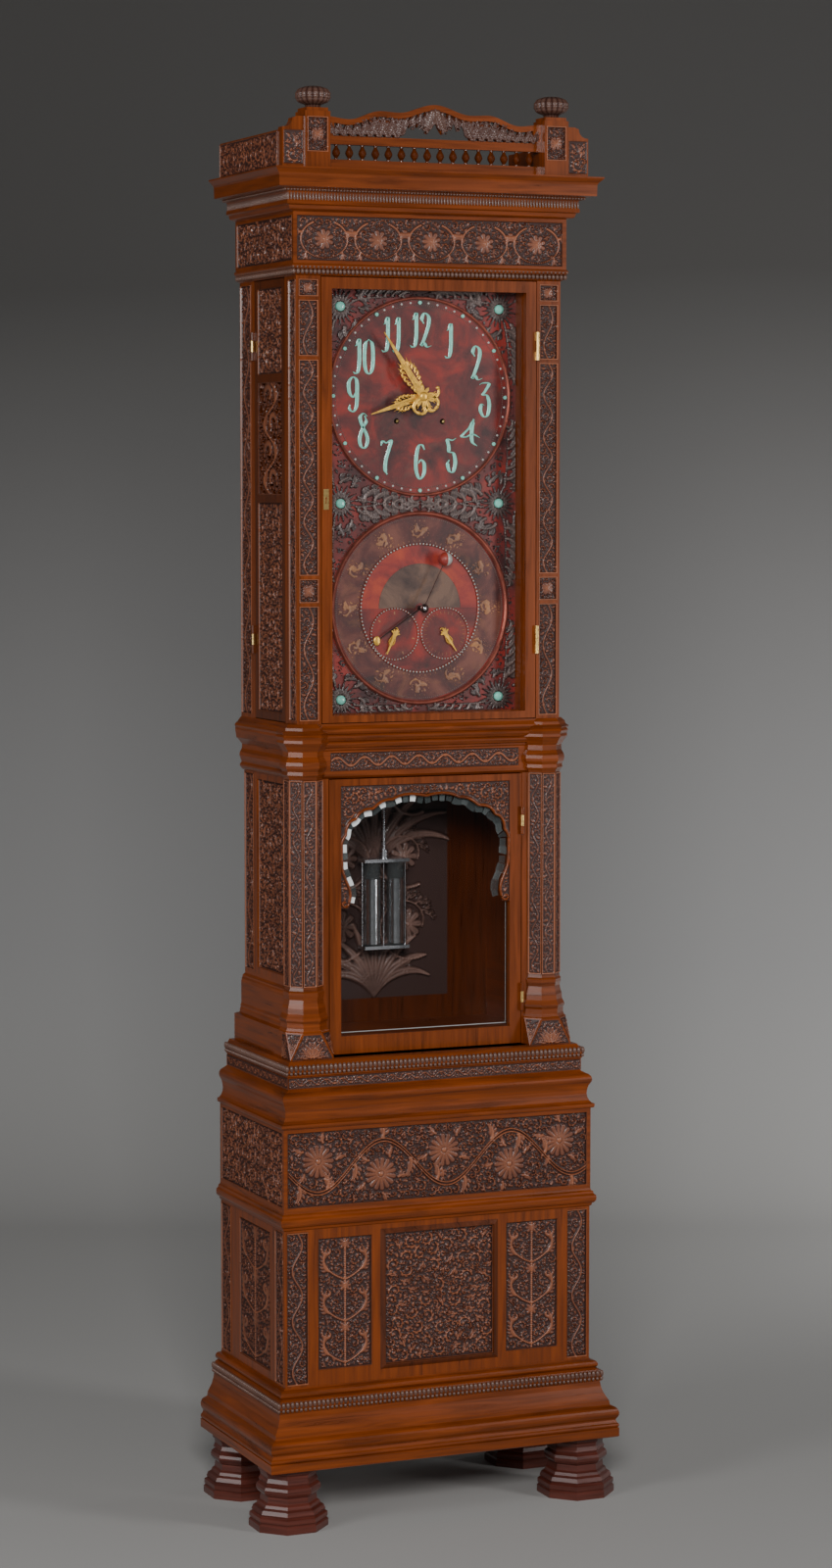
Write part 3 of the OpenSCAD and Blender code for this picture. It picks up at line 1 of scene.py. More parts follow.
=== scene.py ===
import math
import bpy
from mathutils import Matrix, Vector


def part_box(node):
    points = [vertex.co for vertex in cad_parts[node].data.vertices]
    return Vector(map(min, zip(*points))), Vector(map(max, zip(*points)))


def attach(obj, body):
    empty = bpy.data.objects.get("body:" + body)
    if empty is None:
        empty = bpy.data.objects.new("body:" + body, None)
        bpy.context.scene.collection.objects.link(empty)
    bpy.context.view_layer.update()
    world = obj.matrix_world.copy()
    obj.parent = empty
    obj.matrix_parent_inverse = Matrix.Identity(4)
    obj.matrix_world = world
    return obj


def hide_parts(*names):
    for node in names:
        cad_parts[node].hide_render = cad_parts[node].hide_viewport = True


bl_info = {
    "name": "Tall case clock",
    "version": (1, 0, 0),
    "blender": (4, 5, 0),
    "location": "View3D > Sidebar > Clock",
    "description": "Carved mahogany tall case clock dressed over its solid model",
    "category": "Add Mesh",
}

import bpy
import numpy as np
from mathutils import Matrix

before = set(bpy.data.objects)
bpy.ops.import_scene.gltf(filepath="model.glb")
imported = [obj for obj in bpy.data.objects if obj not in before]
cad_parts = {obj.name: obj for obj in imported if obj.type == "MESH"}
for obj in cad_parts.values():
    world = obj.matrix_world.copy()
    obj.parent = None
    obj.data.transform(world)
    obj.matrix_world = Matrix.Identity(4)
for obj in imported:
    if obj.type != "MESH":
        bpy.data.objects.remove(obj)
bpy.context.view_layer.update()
MM = 0.001
LIFT = 0.05  # of carving off its ground, in millimetres
TAU = 2 * math.pi
SIDE_NAMES = ("left", "right")


def extent(node):
    """Lowest and highest corner of a solid, in millimetres."""
    low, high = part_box(node)
    return np.array(low) * 1000, np.array(high) * 1000


# Planes and levels of the case, read from its solids
PLINTH_LOW, PLINTH_HIGH = extent("plinth_case")
TOP_FRIEZE_LOW, TOP_FRIEZE_HIGH = extent("upper_frieze")
POST_LOW, POST_HIGH = extent("corner_posts")
COLUMN_LOW, COLUMN_HIGH = extent("columns")
SIDE_LOW, SIDE_HIGH = extent("lower_sides")
DIAL_LOW, DIAL_HIGH = extent("dial_plate")
RINGS_LOW, RINGS_HIGH = extent("dial_rings")
FRET_LOW, FRET_HIGH = extent("arch_fret")
GALLERY_LOW, GALLERY_HIGH = extent("gallery_frame")
FINIAL_LOW, FINIAL_HIGH = extent("finials")
BACK_FACE = extent("backboard")[0][1]
CREST_FACE = extent("gallery_crest")[0][1]
CORNICE_Z, MIDDLE_Z, OGEE_Z, BASE_Z, SKIRT_Z = (
    extent(node)[0][2] for node in ("top_cornice", "middle_cornice", "ogee_moulding", "base_moulding", "trunk_base"))

FRONT_Y = PLINTH_LOW[1] - 1
BACK_Y = PLINTH_HIGH[1]
HALF_W = PLINTH_HIGH[0] + 1
COLUMN_FOOT = 83.0
POST_STEP = 37
# The dial: its face, the two large circles, the two small ones and the reach of the moon and sun arms
DIAL_Y = DIAL_LOW[1]
MAIN_R = 175.0
CALENDAR_R = 170.0
MAIN_Z = RINGS_HIGH[2] - MAIN_R - 3
CALENDAR_Z = RINGS_LOW[2] + CALENDAR_R + 4
SMALL_X = 49
SMALL_Z = CALENDAR_Z - 46
MOON_REACH = 97.5
SUN_REACH = 103
# The record's material slot that each finish belongs to
SLOTS = {"carved wood": "carved_mahogany", "side carving": "carved_mahogany", "bead wood": "carved_mahogany",
         "back carving": "carved_mahogany", "level wood": "mahogany", "foliage": "dark_iron", "gilt": "gilt",
         "cartouche": "gilt", "band lacquer": "oxblood_lacquer", "sky lacquer": "oxblood_lacquer",
         "earth lacquer": "oxblood_lacquer", "turquoise": "turquoise", "bevel": "clear_glass",
         "bright steel": "steel"}


class Value:
    """An output of a shader graph. Arithmetic on it adds Math nodes."""

    def __init__(self, graph, socket):
        self.graph = graph
        self.socket = socket

    def _math(self, operation, *terms):
        return self.graph.node("ShaderNodeMath", {"operation": operation}, dict(enumerate(terms)))

    def __add__(self, other):
        return self._math("ADD", self, other)

    def __sub__(self, other):
        return self._math("SUBTRACT", self, other)

    def __rsub__(self, other):
        return self._math("SUBTRACT", other, self)

    def __mul__(self, other):
        return self._math("MULTIPLY", self, other)

    __radd__ = __add__
    __rmul__ = __mul__

    def clipped(self):
        return self.graph.node("ShaderNodeClamp", {}, {0: self, 1: 0.0, 2: 1.0})


class Finish:
    """One material. node() makes any node from its type, its settings and its sockets' values or links."""

    def __init__(self, name, **constants):
        self.material = bpy.data.materials.new(name)
        self.material.use_nodes = True
        self.tree = self.material.node_tree
        self.shader = self.tree.nodes["Principled BSDF"]
        for socket, value in constants.items():
            self.shader.inputs[socket.replace("_", " ")].default_value = value
        self.place = self.node("ShaderNodeTexCoord", {}, {}, output="Object")

    def node(self, kind, settings, sockets, output=0):
        made = self.tree.nodes.new(kind)
        for key, value in settings.items():
            if key == "stops":
                ramp = made.color_ramp
                while len(ramp.elements) < len(value):
                    ramp.elements.new(0.5)
                for element, (position, colour) in zip(ramp.elements, value):
                    element.position = position
                    element.color = (*colour, 1.0)
            else:
                setattr(made, key, value)
        for key, value in sockets.items():
            if isinstance(value, Value):
                self.tree.links.new(value.socket, made.inputs[key])
            else:
                made.inputs[key].default_value = value
        return Value(self, made.outputs[output])

    def drive(self, socket, value):
        self.tree.links.new(value.socket, self.shader.inputs[socket])

    def noise(self, stretch, scale, detail=4.0, roughness=0.55, distortion=0.0):
        """Noise over the object's own coordinates, stretched by one number or by one for each axis."""
        stretch = stretch if isinstance(stretch, tuple) else (stretch,) * 3
        vector = self.node("ShaderNodeMapping", {}, {"Vector": self.place, "Scale": stretch})
        return self.node("ShaderNodeTexNoise", {}, {
            "Vector": vector, "Scale": scale, "Detail": detail, "Roughness": roughness, "Distortion": distortion})

    def ramp(self, factor, *stops):
        return self.node("ShaderNodeValToRGB", {"stops": stops}, {0: factor})

    def blend(self, factor, first, colour):
        return self.node("ShaderNodeMix", {"data_type": "RGBA"}, {0: factor, 6: first, 7: (*colour, 1.0)}, output=2)

    def relief(self):
        """The share of the carving's full height, which build() stores on each piece."""
        return self.node("ShaderNodeAttribute", {"attribute_name": "relief"}, {}, output="Fac")

    def finished(self, colour, roughness, height=None, strength=0.0, distance=0.0006):
        """Drive the colour, the roughness and, where a height is given, the bump."""
        self.drive("Base Color", colour)
        self.drive("Roughness", roughness)
        if height is not None:
            self.drive("Normal", self.node(
                "ShaderNodeBump", {}, {"Strength": strength, "Distance": distance, "Height": height}))
        return self.material


def shade(colour, by):
    return tuple(min(1.0, c * by) for c in colour)


def polished_wood(name, colour, stretch):
    """Polished mahogany: streaks stretched along the grain, pores, and slow changes of tone."""
    f = Finish(name, Coat_Weight=0.25, Coat_Roughness=0.12, IOR=1.38)
    streak = f.noise(stretch, 1.3, 5.0, 0.6, 0.7)
    slow = f.noise((2.2, 2.2, 1.3), 2.1, 3.0, 0.5)
    pores = f.noise(tuple(4 * s for s in stretch), 4.0, 3.0, 0.7)
    tone = f.ramp(streak, (0.30, shade(colour, 0.55)), (0.50, colour), (0.72, shade(colour, 1.35)))
    shaded = f.blend(((slow - 0.42) * 2.2).clipped() * 0.55, tone, shade(colour, 0.38))
    return f.finished(shaded, 0.22 + streak * 0.16, pores * 0.6 + streak * 0.4, 0.08)


def carved_wood(name, deep, middle, crest):
    """Carved mahogany coloured by the relief's own height: painted shade in the hollows and painted highlights on the
    crests.
    """
    f = Finish(name, Coat_Weight=0.20, Coat_Roughness=0.16, IOR=1.42)
    height = f.relief()
    grain = f.noise(30, 3.0, 5.0, 0.6)
    slow = f.noise(7, 2.0, 3.0, 0.5)
    # Painted shade: the deep colour low in the relief. Painted highlight: the crest colour on its top.
    tone = f.ramp(height + (grain - 0.5) * 0.25, (0.03, deep), (0.40, middle), (0.92, crest))
    shaded = f.blend(((slow - 0.40) * 2.0).clipped() * 0.5, tone, shade(middle, 0.45))
    return f.finished(shaded, 0.56 - (height * 0.26).clipped() + grain * 0.08, grain, 0.12)


def plain_metal(name, colour, rough, worn=0.5, scale=14, metallic=1.0):
    """Metal with brushed streaks and soft tarnish."""
    f = Finish(name, Metallic=metallic)
    streak = f.noise((scale, scale, scale * 6), 5.0, 4.0, 0.6)
    cloud = f.noise(scale, 2.0, 4.0, 0.6)
    tone = f.ramp(cloud, (0.30, shade(colour, worn)), (0.62, colour))
    return f.finished(tone, rough + streak * 0.14, streak, 0.05, 0.0003)


def mottled_lacquer(name, dark, middle, light, patched, share=0.55):
    """Lacquer on the dial: clouds of three tones, with rubbed patches of a fourth."""
    f = Finish(name, Coat_Weight=0.2, Coat_Roughness=0.35)
    cloud = f.noise(14, 1.1, 6.0, 0.62, 0.6)
    patch = f.noise(26, 1.0, 4.0, 0.6, 1.2)
    ground = f.ramp(cloud, (0.34, dark), (0.48, middle), (0.62, light))
    tone = f.blend(((patch - 0.54) * 4.5).clipped() * share, ground, patched)
    return f.finished(tone, 0.36 + patch * 0.22, patch, 0.08)


def dark_foliage(name):
    """Bronzed dark metal foliage on the dial, with painted shade low in the relief and painted highlights on its
    crests.
    """
    f = Finish(name, Metallic=0.25, Coat_Weight=0.2, Coat_Roughness=0.3)
    height = f.relief()
    speck = f.noise(60, 3.0, 4.0, 0.6)
    # Painted shade low in the relief, painted highlight on the crests.
    tone = f.ramp(height + (speck - 0.5) * 0.35, (0.15, (0.010, 0.006, 0.007)), (0.6, (0.048, 0.030, 0.028)),
                  (0.98, (0.18, 0.125, 0.11)))
    return f.finished(tone, 0.30 + speck * 0.2, speck, 0.15)


def enamel(name, colour):
    """Glossy enamel with faint unevenness."""
    f = Finish(name, Coat_Weight=0.5, Coat_Roughness=0.1)
    cloud = f.noise(40, 2.0, 3.0)
    return f.finished(f.ramp(cloud, (0.35, shade(colour, 0.78)), (0.65, colour)), 0.28 + cloud * 0.12)


def clear_glass(name, weight, tone=0.02):
    """Plate glass: nearly clear, with a thin bright coat."""
    f = Finish(name, Coat_Weight=1.0, Coat_Roughness=0.03, Roughness=0.04, IOR=1.45)
    faint = f.noise(6, 1.0, 2.0)
    dark, pale = (tone, tone * 1.1, tone * 1.1), (tone * 1.3, tone * 1.4, tone * 1.4)
    f.drive("Base Color", f.ramp(faint, (0.3, dark), (0.7, pale)))
    f.drive("Alpha", weight + faint * 0.03)
    return f.material


def bevel_glass(name):
    """The bevelled edge of the glass as painted glints: facets from dark and nearly clear to pale and solid, by the
    relief value that each carries.
    """
    f = Finish(name, Metallic=0.1)
    cloud = f.noise(20, 1.0, 2.0)
    facet = f.relief()
    # The relief value sets each facet's painted glint.
    f.drive("Alpha", facet.clipped())
    return f.finished(f.ramp(facet, (0.4, (0.10, 0.12, 0.12)), (0.85, (0.90, 0.93, 0.92))), 0.06 + cloud * 0.08)


class ClockFinishes(bpy.types.PropertyGroup):
    """Colours of the clock's finishes."""
    mahogany: bpy.props.FloatVectorProperty(
        name="Mahogany", description="Polished case wood", subtype="COLOR", size=3, default=(0.160, 0.030, 0.0012))
    # Painted shade for the carving's hollows.
    hollow: bpy.props.FloatVectorProperty(
        name="Hollows", description="Stain in the carving's hollows", subtype="COLOR", size=3,
        default=(0.028, 0.0085, 0.0058))
    carving: bpy.props.FloatVectorProperty(
        name="Carving", description="Carved wood", subtype="COLOR", size=3, default=(0.078, 0.0215, 0.0115))
    # Painted highlight for the carving's crests.
    crest: bpy.props.FloatVectorProperty(
        name="Crests", description="Rubbed crests of the carving", subtype="COLOR", size=3,
        default=(0.30, 0.100, 0.045))
    gilt: bpy.props.FloatVectorProperty(
        name="Gilt", description="Hands and sun", subtype="COLOR", size=3, default=(1.0, 0.56, 0.09))
    turquoise: bpy.props.FloatVectorProperty(
        name="Turquoise", description="Numerals and studs", subtype="COLOR", size=3, default=(0.24, 0.72, 0.58))


class ClockSizes(bpy.types.PropertyGroup):
    """Sizes of the clock's carving."""
    front_pitch: bpy.props.FloatProperty(
        name="Front grid", description="Spacing of the relief's points on the front", unit="LENGTH",
        default=0.00118, min=0.0008, max=0.004)
    side_pitch: bpy.props.FloatProperty(
        name="Side grid", description="Spacing of the relief's points on the sides", unit="LENGTH",
        default=0.0016, min=0.0008, max=0.005)
    bead_pitch: bpy.props.FloatProperty(
        name="Bead pitch", description="Distance between beads", unit="LENGTH", default=0.0084, min=0.005, max=0.012)
    relief_depth: bpy.props.FloatProperty(
        name="Relief depth", description="Height of the case's carving", unit="LENGTH",
        default=0.0040, min=0.001, max=0.006)


MATERIALS = {}


# Mesh building

def sizes(context):
    """The sizes in millimetres: front grid, side grid, bead pitch and relief depth."""
    s = context.scene.clock_sizes
    return tuple(v / MM for v in (s.front_pitch, s.side_pitch, s.bead_pitch, s.relief_depth))


def build(name, parts, finish, body="case", slot=None):
    """One object from parts, each (points in mm, faces, relief values); faces are an array of corner indices."""
    points = np.concatenate([p[0] for p in parts]) * MM
    faces = []
    offset = 0
    for pts, polys, _ in parts:
        for poly in polys:
            faces.extend((poly + offset).tolist() if isinstance(poly, np.ndarray) else [[i + offset for i in poly]])
        offset += len(pts)
    mesh = bpy.data.meshes.new(name)
    mesh.from_pydata(points.tolist(), [], faces)
    mesh.validate()
    layer = mesh.attributes.new("relief", "FLOAT", "POINT")
    layer.data.foreach_set("value", np.concatenate([p[2] for p in parts]).astype(np.float32))
    mesh.shade_smooth()
    mesh.set_sharp_from_angle(angle=math.radians(62))
    obj = bpy.data.objects.new(name, mesh)
    bpy.context.collection.objects.link(obj)
    obj.data.materials.append(MATERIALS[finish])
    slot = slot or SLOTS[finish]
    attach(obj, body)
    return obj


def grid_faces(rows, columns, closed=False):
    """Quads of a grid of points stored row after row; closed joins the last column to the first."""
    index = np.arange(rows * columns).reshape(rows, columns)
    right = np.roll(index, -1, axis=1)
    if not closed:
        index, right = index[:, :-1], right[:, :-1]
    return np.stack([index[:-1], right[:-1], right[1:], index[1:]], axis=-1).reshape(-1, 4)


def steps(count):
    """Shares from 0 to 1."""
    return np.linspace(0, 1, count)


def way(angle):
    """Unit vector at an angle."""
    return np.array([math.cos(angle), math.sin(angle)])


def ways(angles):
    """Unit vector at each of the angles."""
    return np.stack([np.cos(angles), np.sin(angles)], axis=1)


def walk(angles, length):
    """Points of a line of some length that heads along each of the angles in turn."""
    return np.cumsum(ways(angles), axis=0) * length / len(angles)


def xyz(x, y, z):
    """Points from their coordinates, each an array or one number for all."""
    return np.stack(np.broadcast_arrays(x, y, z), axis=-1).astype(float)


class Relief:
    """Heights in mm over a panel: u across and v up, from the panel's lower left corner.

    Each stroke raises the surface to a round-backed ridge: height = top * sqrt(1 - (distance / half width) ** 2),
    less a narrow groove along its middle. A coarse grid keeps, for each cell, the room to the nearest stroke or edge
    and the point of that stroke, so that pack() can fill what is left.
    """
    cell = 2.0          # of the coarse grid
    reach = 14.0        # how far from a stroke its room is noted
    batch = 12          # points of a stroke that are worked at a time
    large = 6.5         # room from which a gap takes a whole scroll or leaf
    cramped = 3.4       # room below which it takes only a drop

    def __init__(self, width, height, pitch):
        self.size = (width, height)
        self.u = np.linspace(0, width, max(3, int(round(width / pitch)) + 1))
        self.v = np.linspace(0, height, max(3, int(round(height / pitch)) + 1))
        self.h = np.zeros((len(self.v), len(self.u)))
        self.cu = np.arange(self.cell / 2, width, self.cell)
        self.cv = np.arange(self.cell / 2, height, self.cell)
        edge_u = np.minimum(self.cu, width - self.cu)[None, :] + 0 * self.cv[:, None]
        edge_v = np.minimum(self.cv, height - self.cv)[:, None] + 0 * self.cu[None, :]
        self.gap = np.minimum(edge_u, edge_v) - 1.0
        root_u = np.where(edge_u < edge_v, np.where(self.cu < width / 2, 0, width)[None, :], self.cu[None, :])
        root_v = np.where(edge_u < edge_v, self.cv[:, None], np.where(self.cv < height / 2, 0, height)[:, None])
        self.root = np.stack([root_u, root_v], axis=-1).astype(float)

    def _window(self, us, vs, path, reach):
        c0, c1 = np.searchsorted(us, [path[:, 0].min() - reach, path[:, 0].max() + reach])
        r0, r1 = np.searchsorted(vs, [path[:, 1].min() - reach, path[:, 1].max() + reach])
        du = us[c0:c1][None, :, None] - path[:, 0]
        dv = vs[r0:r1][:, None, None] - path[:, 1]
        return slice(r0, r1), slice(c0, c1), du ** 2 + dv ** 2

    def stroke(self, path, half, top, groove=0.0):
        """Raise a ridge along a path of points with its half width and its top height at each point."""
        path = np.atleast_2d(np.asarray(path, float))
        half = np.maximum(np.broadcast_to(np.asarray(half, float), len(path)), 0.5)
        top = np.broadcast_to(np.asarray(top, float), len(path))
        for first in range(0, max(1, len(path) - 1), self.batch):
            part = slice(first, first + self.batch + 1)
            p, w, t = path[part], half[part], top[part]
            rows, columns, square = self._window(self.u, self.v, p, w.max())
            if square.size:
                far = square / w ** 2
                near = far.argmin(axis=2)
                far = far.min(axis=2)
                ridge = np.sqrt(np.clip(1 - far, 0, 1)) * t[near] * (1 - groove * np.exp(-far / 0.05))
                self.h[rows, columns] = np.maximum(self.h[rows, columns], ridge)
            rows, columns, square = self._window(self.cu, self.cv, p, w.max() + self.reach)
            if square.size:
                room = np.sqrt(square) - w
                near = room.argmin(axis=2)
                room = room.min(axis=2)
                closer = room < self.gap[rows, columns]
                self.gap[rows, columns] = np.where(closer, room, self.gap[rows, columns])
                self.root[rows, columns] = np.where(closer[..., None], p[near], self.root[rows, columns])

    def curl(self, at, angle, size, turn, top, fat=0.24):
        """A leaf that curls in: a spiral arc whose radius shrinks while it turns, ending in a small ball."""
        t = steps(12)
        ring = np.array(at) + ways(angle + turn * t * 4.6) * (size * (1 - 0.78 * t))[:, None]
        self.stroke(ring, size * fat * (0.35 + 0.65 * np.sin(np.pi * (0.15 + 0.8 * t))), top * (0.75 + 0.25 * t))

    def leaf(self, base, angle, length, bend, top, lobes=5, fat=1.0):
        """An acanthus leaf: a bent midrib with paired lobes that sweep forward and shorten to the tip."""
        s = steps(10)
        a = angle + bend * s
        rib = np.array(base) + walk(a, length)
        self.stroke(rib, length * 0.085 * fat * (1.1 - 0.8 * s), top)
        q = steps(6)
        for k in range(lobes):
            i = 1 + int(8 * k / lobes)
            reach = length * 0.38 * (1 - 0.6 * k / lobes)
            for side in (-1, 1):
                lobe = rib[i] + walk(a[i] + side * (1.05 - 0.9 * q), reach)
                self.stroke(lobe, reach * 0.24 * fat * np.sin(np.pi * (0.2 + 0.7 * q)), top * (0.62 + 0.25 * q))

    def daisy(self, at, radius, petals, top, turn=0.0):
        """A flower: petals that widen outwards round a domed eye."""
        q = np.linspace(0.3, 1, 7)
        for k in range(petals):
            ray = np.array(at) + np.outer(q * radius * 0.92, way(turn + TAU * k / petals))
            self.stroke(ray, radius * 2.5 / petals * (0.35 + 0.75 * q), top * (0.95 - 0.25 * q), 0.35)
        self.stroke([at], radius * 0.22, top)

    def comma(self, at, angle, room, side, top):
        """A drop-shaped leaf that bends through an arc, thin where it is rooted and full near its tip."""
        t = steps(8)
        line = walk(angle + side * (1.8 * t - 0.9), room) * 1.9
        half = room * (0.10 + 0.40 * np.sin(np.pi * 0.94 * t ** 1.4))
        self.stroke(line - line.mean(axis=0) + at, half, top * (0.5 + 0.5 * t), 0.35)

    def volute(self, at, angle, room, side, top):
        """A small scroll: a spiral of shrinking radius closed by a ball."""
        t = steps(11)
        ring = np.array(at) + ways(angle + math.pi + side * t * 4.8) * (room * (0.82 - 0.6 * t))[:, None]
        self.stroke(ring, room * (0.11 + 0.08 * t), top * (0.7 + 0.25 * t))
        self.stroke(ring[-1:], room * 0.24, top)

    def bud(self, at, angle, room, top):
        """Five short petals round a ball."""
        for k in range(5):
            ray = np.array(at) + np.outer([0.35, 0.6, 0.8], way(angle + k * 2 * math.pi / 5)) * room
            self.stroke(ray, room * np.array([0.14, 0.24, 0.2]), top * 0.85)
        self.stroke([at], room * 0.2, top)

    def pack(self, top, seed, least=3.1, most=10.0):
        """Fill the ground: again and again the widest gap takes a leaf, a scroll or a bud of its own size, turned away
        from the stroke that it grows from."""
        rng = np.random.default_rng(seed)
        while True:
            row, column = divmod(int(self.gap.argmax()), self.gap.shape[1])
            room = self.gap[row, column]
            if room < least:
                return
            room = min(room, most)
            at = np.array([self.cu[column], self.cv[row]])
            away = at - self.root[row, column]
            angle = math.atan2(away[1], away[0]) + rng.uniform(-0.7, 0.7)
            side = 1 if rng.random() < 0.5 else -1
            kind = rng.random()
            if room > self.large and kind < 0.65:
                self.scroll(at, angle + math.pi, room * 0.85, side, room * 0.11, top)
            elif room > self.large:
                self.leaf(at - way(angle) * room * 0.95, angle - side * 0.6, room * 2.0, side * 1.3, top, 5, 0.8)
            elif kind < 0.60 or room < self.cramped:
                self.comma(at, angle, room, side, top)
            elif kind < 0.88:
                self.volute(at, angle, room, side, top)
            else:
                self.bud(at, angle, room, top)
            self.gap[row, column] = 0.0

    def vine(self, start, end, swing, waves, half, top):
        """A wavy stem from start to end with a leaf and a curl thrown into every bend."""
        start, end = np.array(start, float), np.array(end, float)
        run = end - start
        span = np.hypot(*run)
        across = np.array([-run[1], run[0]]) / span
        t = steps(int(span / 2.2) + 2)
        wave = np.sin(TAU * waves * t) * swing
        self.stroke(start + np.outer(t, run) + np.outer(wave, across), half, top)
        base = math.atan2(run[1], run[0])
        for k in range(int(2 * waves)):
            mid = (k + 0.5) / (2 * waves)
            side = 1 if k % 2 == 0 else -1
            at = start + run * mid + across * swing * side * -0.25
            self.curl(at, base - side * 2.2, swing * 0.82, side, top * 0.95, 0.27)
            self.leaf(start + run * (mid - 0.12 / waves) + across * swing * side * 0.7, base + side * 0.3,
                      swing * 1.35, -side * 1.1, top * 0.9, 3, 1.2)

    def scroll(self, at, angle, size, side, half, top, leaves=5):
        """A large C-scroll: a spiral stem with leaves along its back and a flower in its eye."""
        t = steps(40)
        a = angle + side * 4.4 * t
        ring = np.array(at) + ways(a) * (size * (1.08 - 0.72 * t))[:, None]
        self.stroke(ring, half * (1.1 - 0.55 * t), top)
        for k in range(leaves):
            i = 2 + int(30 * k / leaves)
            self.leaf(ring[i], a[i] + side * 0.9, size * 0.62 * (1 - 0.3 * t[i]), side * 1.2, top * 0.9, 4, 1.5)
        self.daisy(at, size * 0.26, 7, top)

    def rim(self, width, top):
        """Fade the carving out to the panel's edge and raise a thin flat border there."""
        edge_u = np.minimum(self.u, self.size[0] - self.u)
        edge_v = np.minimum(self.v, self.size[1] - self.v)
        edge = np.minimum(edge_u[None, :], edge_v[:, None])
        self.h = np.where(edge < width, np.minimum(self.h, top * 0.4), self.h)
        self.h = np.where(edge < width * 0.66, top, self.h)

    def filled(self, top, seed, least, most, width, border):
        """Pack the ground, raise the border and give the finished relief."""
        self.pack(top, seed, least, most)
        self.rim(width, border)
        return self


def plate(relief, origin, across, up, mask=None, thick=0.0):
    """A relief as a closed plate: the carved face over a flat back, with walls round its edge or round its mask."""
    origin, across, up = (np.array(a, float) for a in (origin, across, up))
    out = np.cross(across, up)
    rows, columns = relief.h.shape
    flat = (origin + relief.u[None, :, None] * across + relief.v[:, None, None] * up).reshape(-1, 3)
    h = relief.h.reshape(-1)
    front = flat + (h + thick + LIFT)[:, None] * out
    # Share of the full height, which the carving finishes turn into painted shade low down and painted highlight on
    # top.
    values = np.clip(h / max(relief.h.max(), 1e-6), 0, 1)
    first = rows * columns
    if mask is None:
        index = np.arange(first).reshape(rows, columns)
        ring = np.concatenate([index[0], index[1:, -1], index[-1, -2::-1], index[-2:0:-1, 0]])
        low = first + np.arange(len(ring))
        walls = np.stack([low, np.roll(low, -1), np.roll(ring, -1), ring], axis=-1)
        points = np.concatenate([front, flat[ring]])
        values = np.concatenate([values, np.zeros(len(ring))])
        return points, [grid_faces(rows, columns), walls, low[::-1].tolist()], values
    cell = mask[:-1, :-1] & mask[1:, :-1] & mask[:-1, 1:] & mask[1:, 1:]
    quads = grid_faces(rows, columns).reshape(rows - 1, columns - 1, 4)
    faces = [quads[cell], quads[cell][:, ::-1] + first]
    padded = np.pad(cell, 1)
    for dr, dc, a, b in ((-1, 0, 0, 1), (0, 1, 1, 2), (1, 0, 2, 3), (0, -1, 3, 0)):
        bare = cell & ~padded[1 + dr:rows + dr, 1 + dc:columns + dc]
        edge = quads[bare]
        faces.append(np.stack([edge[:, b], edge[:, a], edge[:, a] + first, edge[:, b] + first], axis=-1))
    used = np.unique(np.concatenate([f.ravel() for f in faces]))
    lookup = np.full(2 * first, -1)
    lookup[used] = np.arange(len(used))
    points = np.concatenate([front, flat])[used]
    return points, [lookup[f] for f in faces], np.concatenate([values, values * 0.2])[used]


def bar(path, width, depth, sides=8, height=1.0):
    """A closed rounded bar seen from the front: at each point an ellipse, width across and depth towards the front."""
    path = np.asarray(path, float)
    n = len(path)
    width = np.broadcast_to(np.asarray(width, float), n)
    depth = np.broadcast_to(np.asarray(depth, float), n)
    tangent = np.gradient(path, axis=0)
    tangent /= np.maximum(np.linalg.norm(tangent, axis=1, keepdims=True), 1e-9)
    out = np.array([0.0, -1.0, 0.0])
    side = np.cross(tangent, out)
    side /= np.maximum(np.linalg.norm(side, axis=1, keepdims=True), 1e-9)
    a = np.linspace(0, TAU, sides, endpoint=False)
    ring = (side[:, None, :] * (np.cos(a) / 2)[None, :, None] * width[:, None, None]
            + out * (np.sin(a) / 2)[None, :, None] * depth[:, None, None])
    points = np.concatenate([(path[:, None, :] + ring).reshape(-1, 3), path[:1], path[-1:]])
    k, after = np.arange(sides), (np.arange(sides) + 1) % sides
    end = (n - 1) * sides
    start_cap = np.stack([k, after, np.full(sides, n * sides)], axis=-1)
    end_cap = np.stack([end + after, end + k, np.full(sides, n * sides + 1)], axis=-1)
    return points, [grid_faces(n, sides, closed=True)[:, ::-1], start_cap, end_cap], np.full(len(points), height)


def smooth_path(points, count):
    """A Catmull-Rom curve through the points: each span is a cubic whose slopes come from the neighbours."""
    p = np.asarray(points, float)
    return spans(np.concatenate([2 * p[:1] - p[1:2], p, 2 * p[-1:] - p[-2:-1]]), count)[0]


def spans(p, count):
    """The curve through all but the first and last of the points, and how far along it, in spans, each point lies."""
    t = np.linspace(0, len(p) - 3 - 1e-9, count)
    i = t.astype(int)
    f = (t - i)[:, None]
    a, b, c, d = p[i], p[i + 1], p[i + 2], p[i + 3]
    line = 0.5 * (2 * b + (c - a) * f + (2 * a - 5 * b + 4 * c - d) * f ** 2 + (3 * b - a - 3 * c + d) * f ** 3)
    return line, t


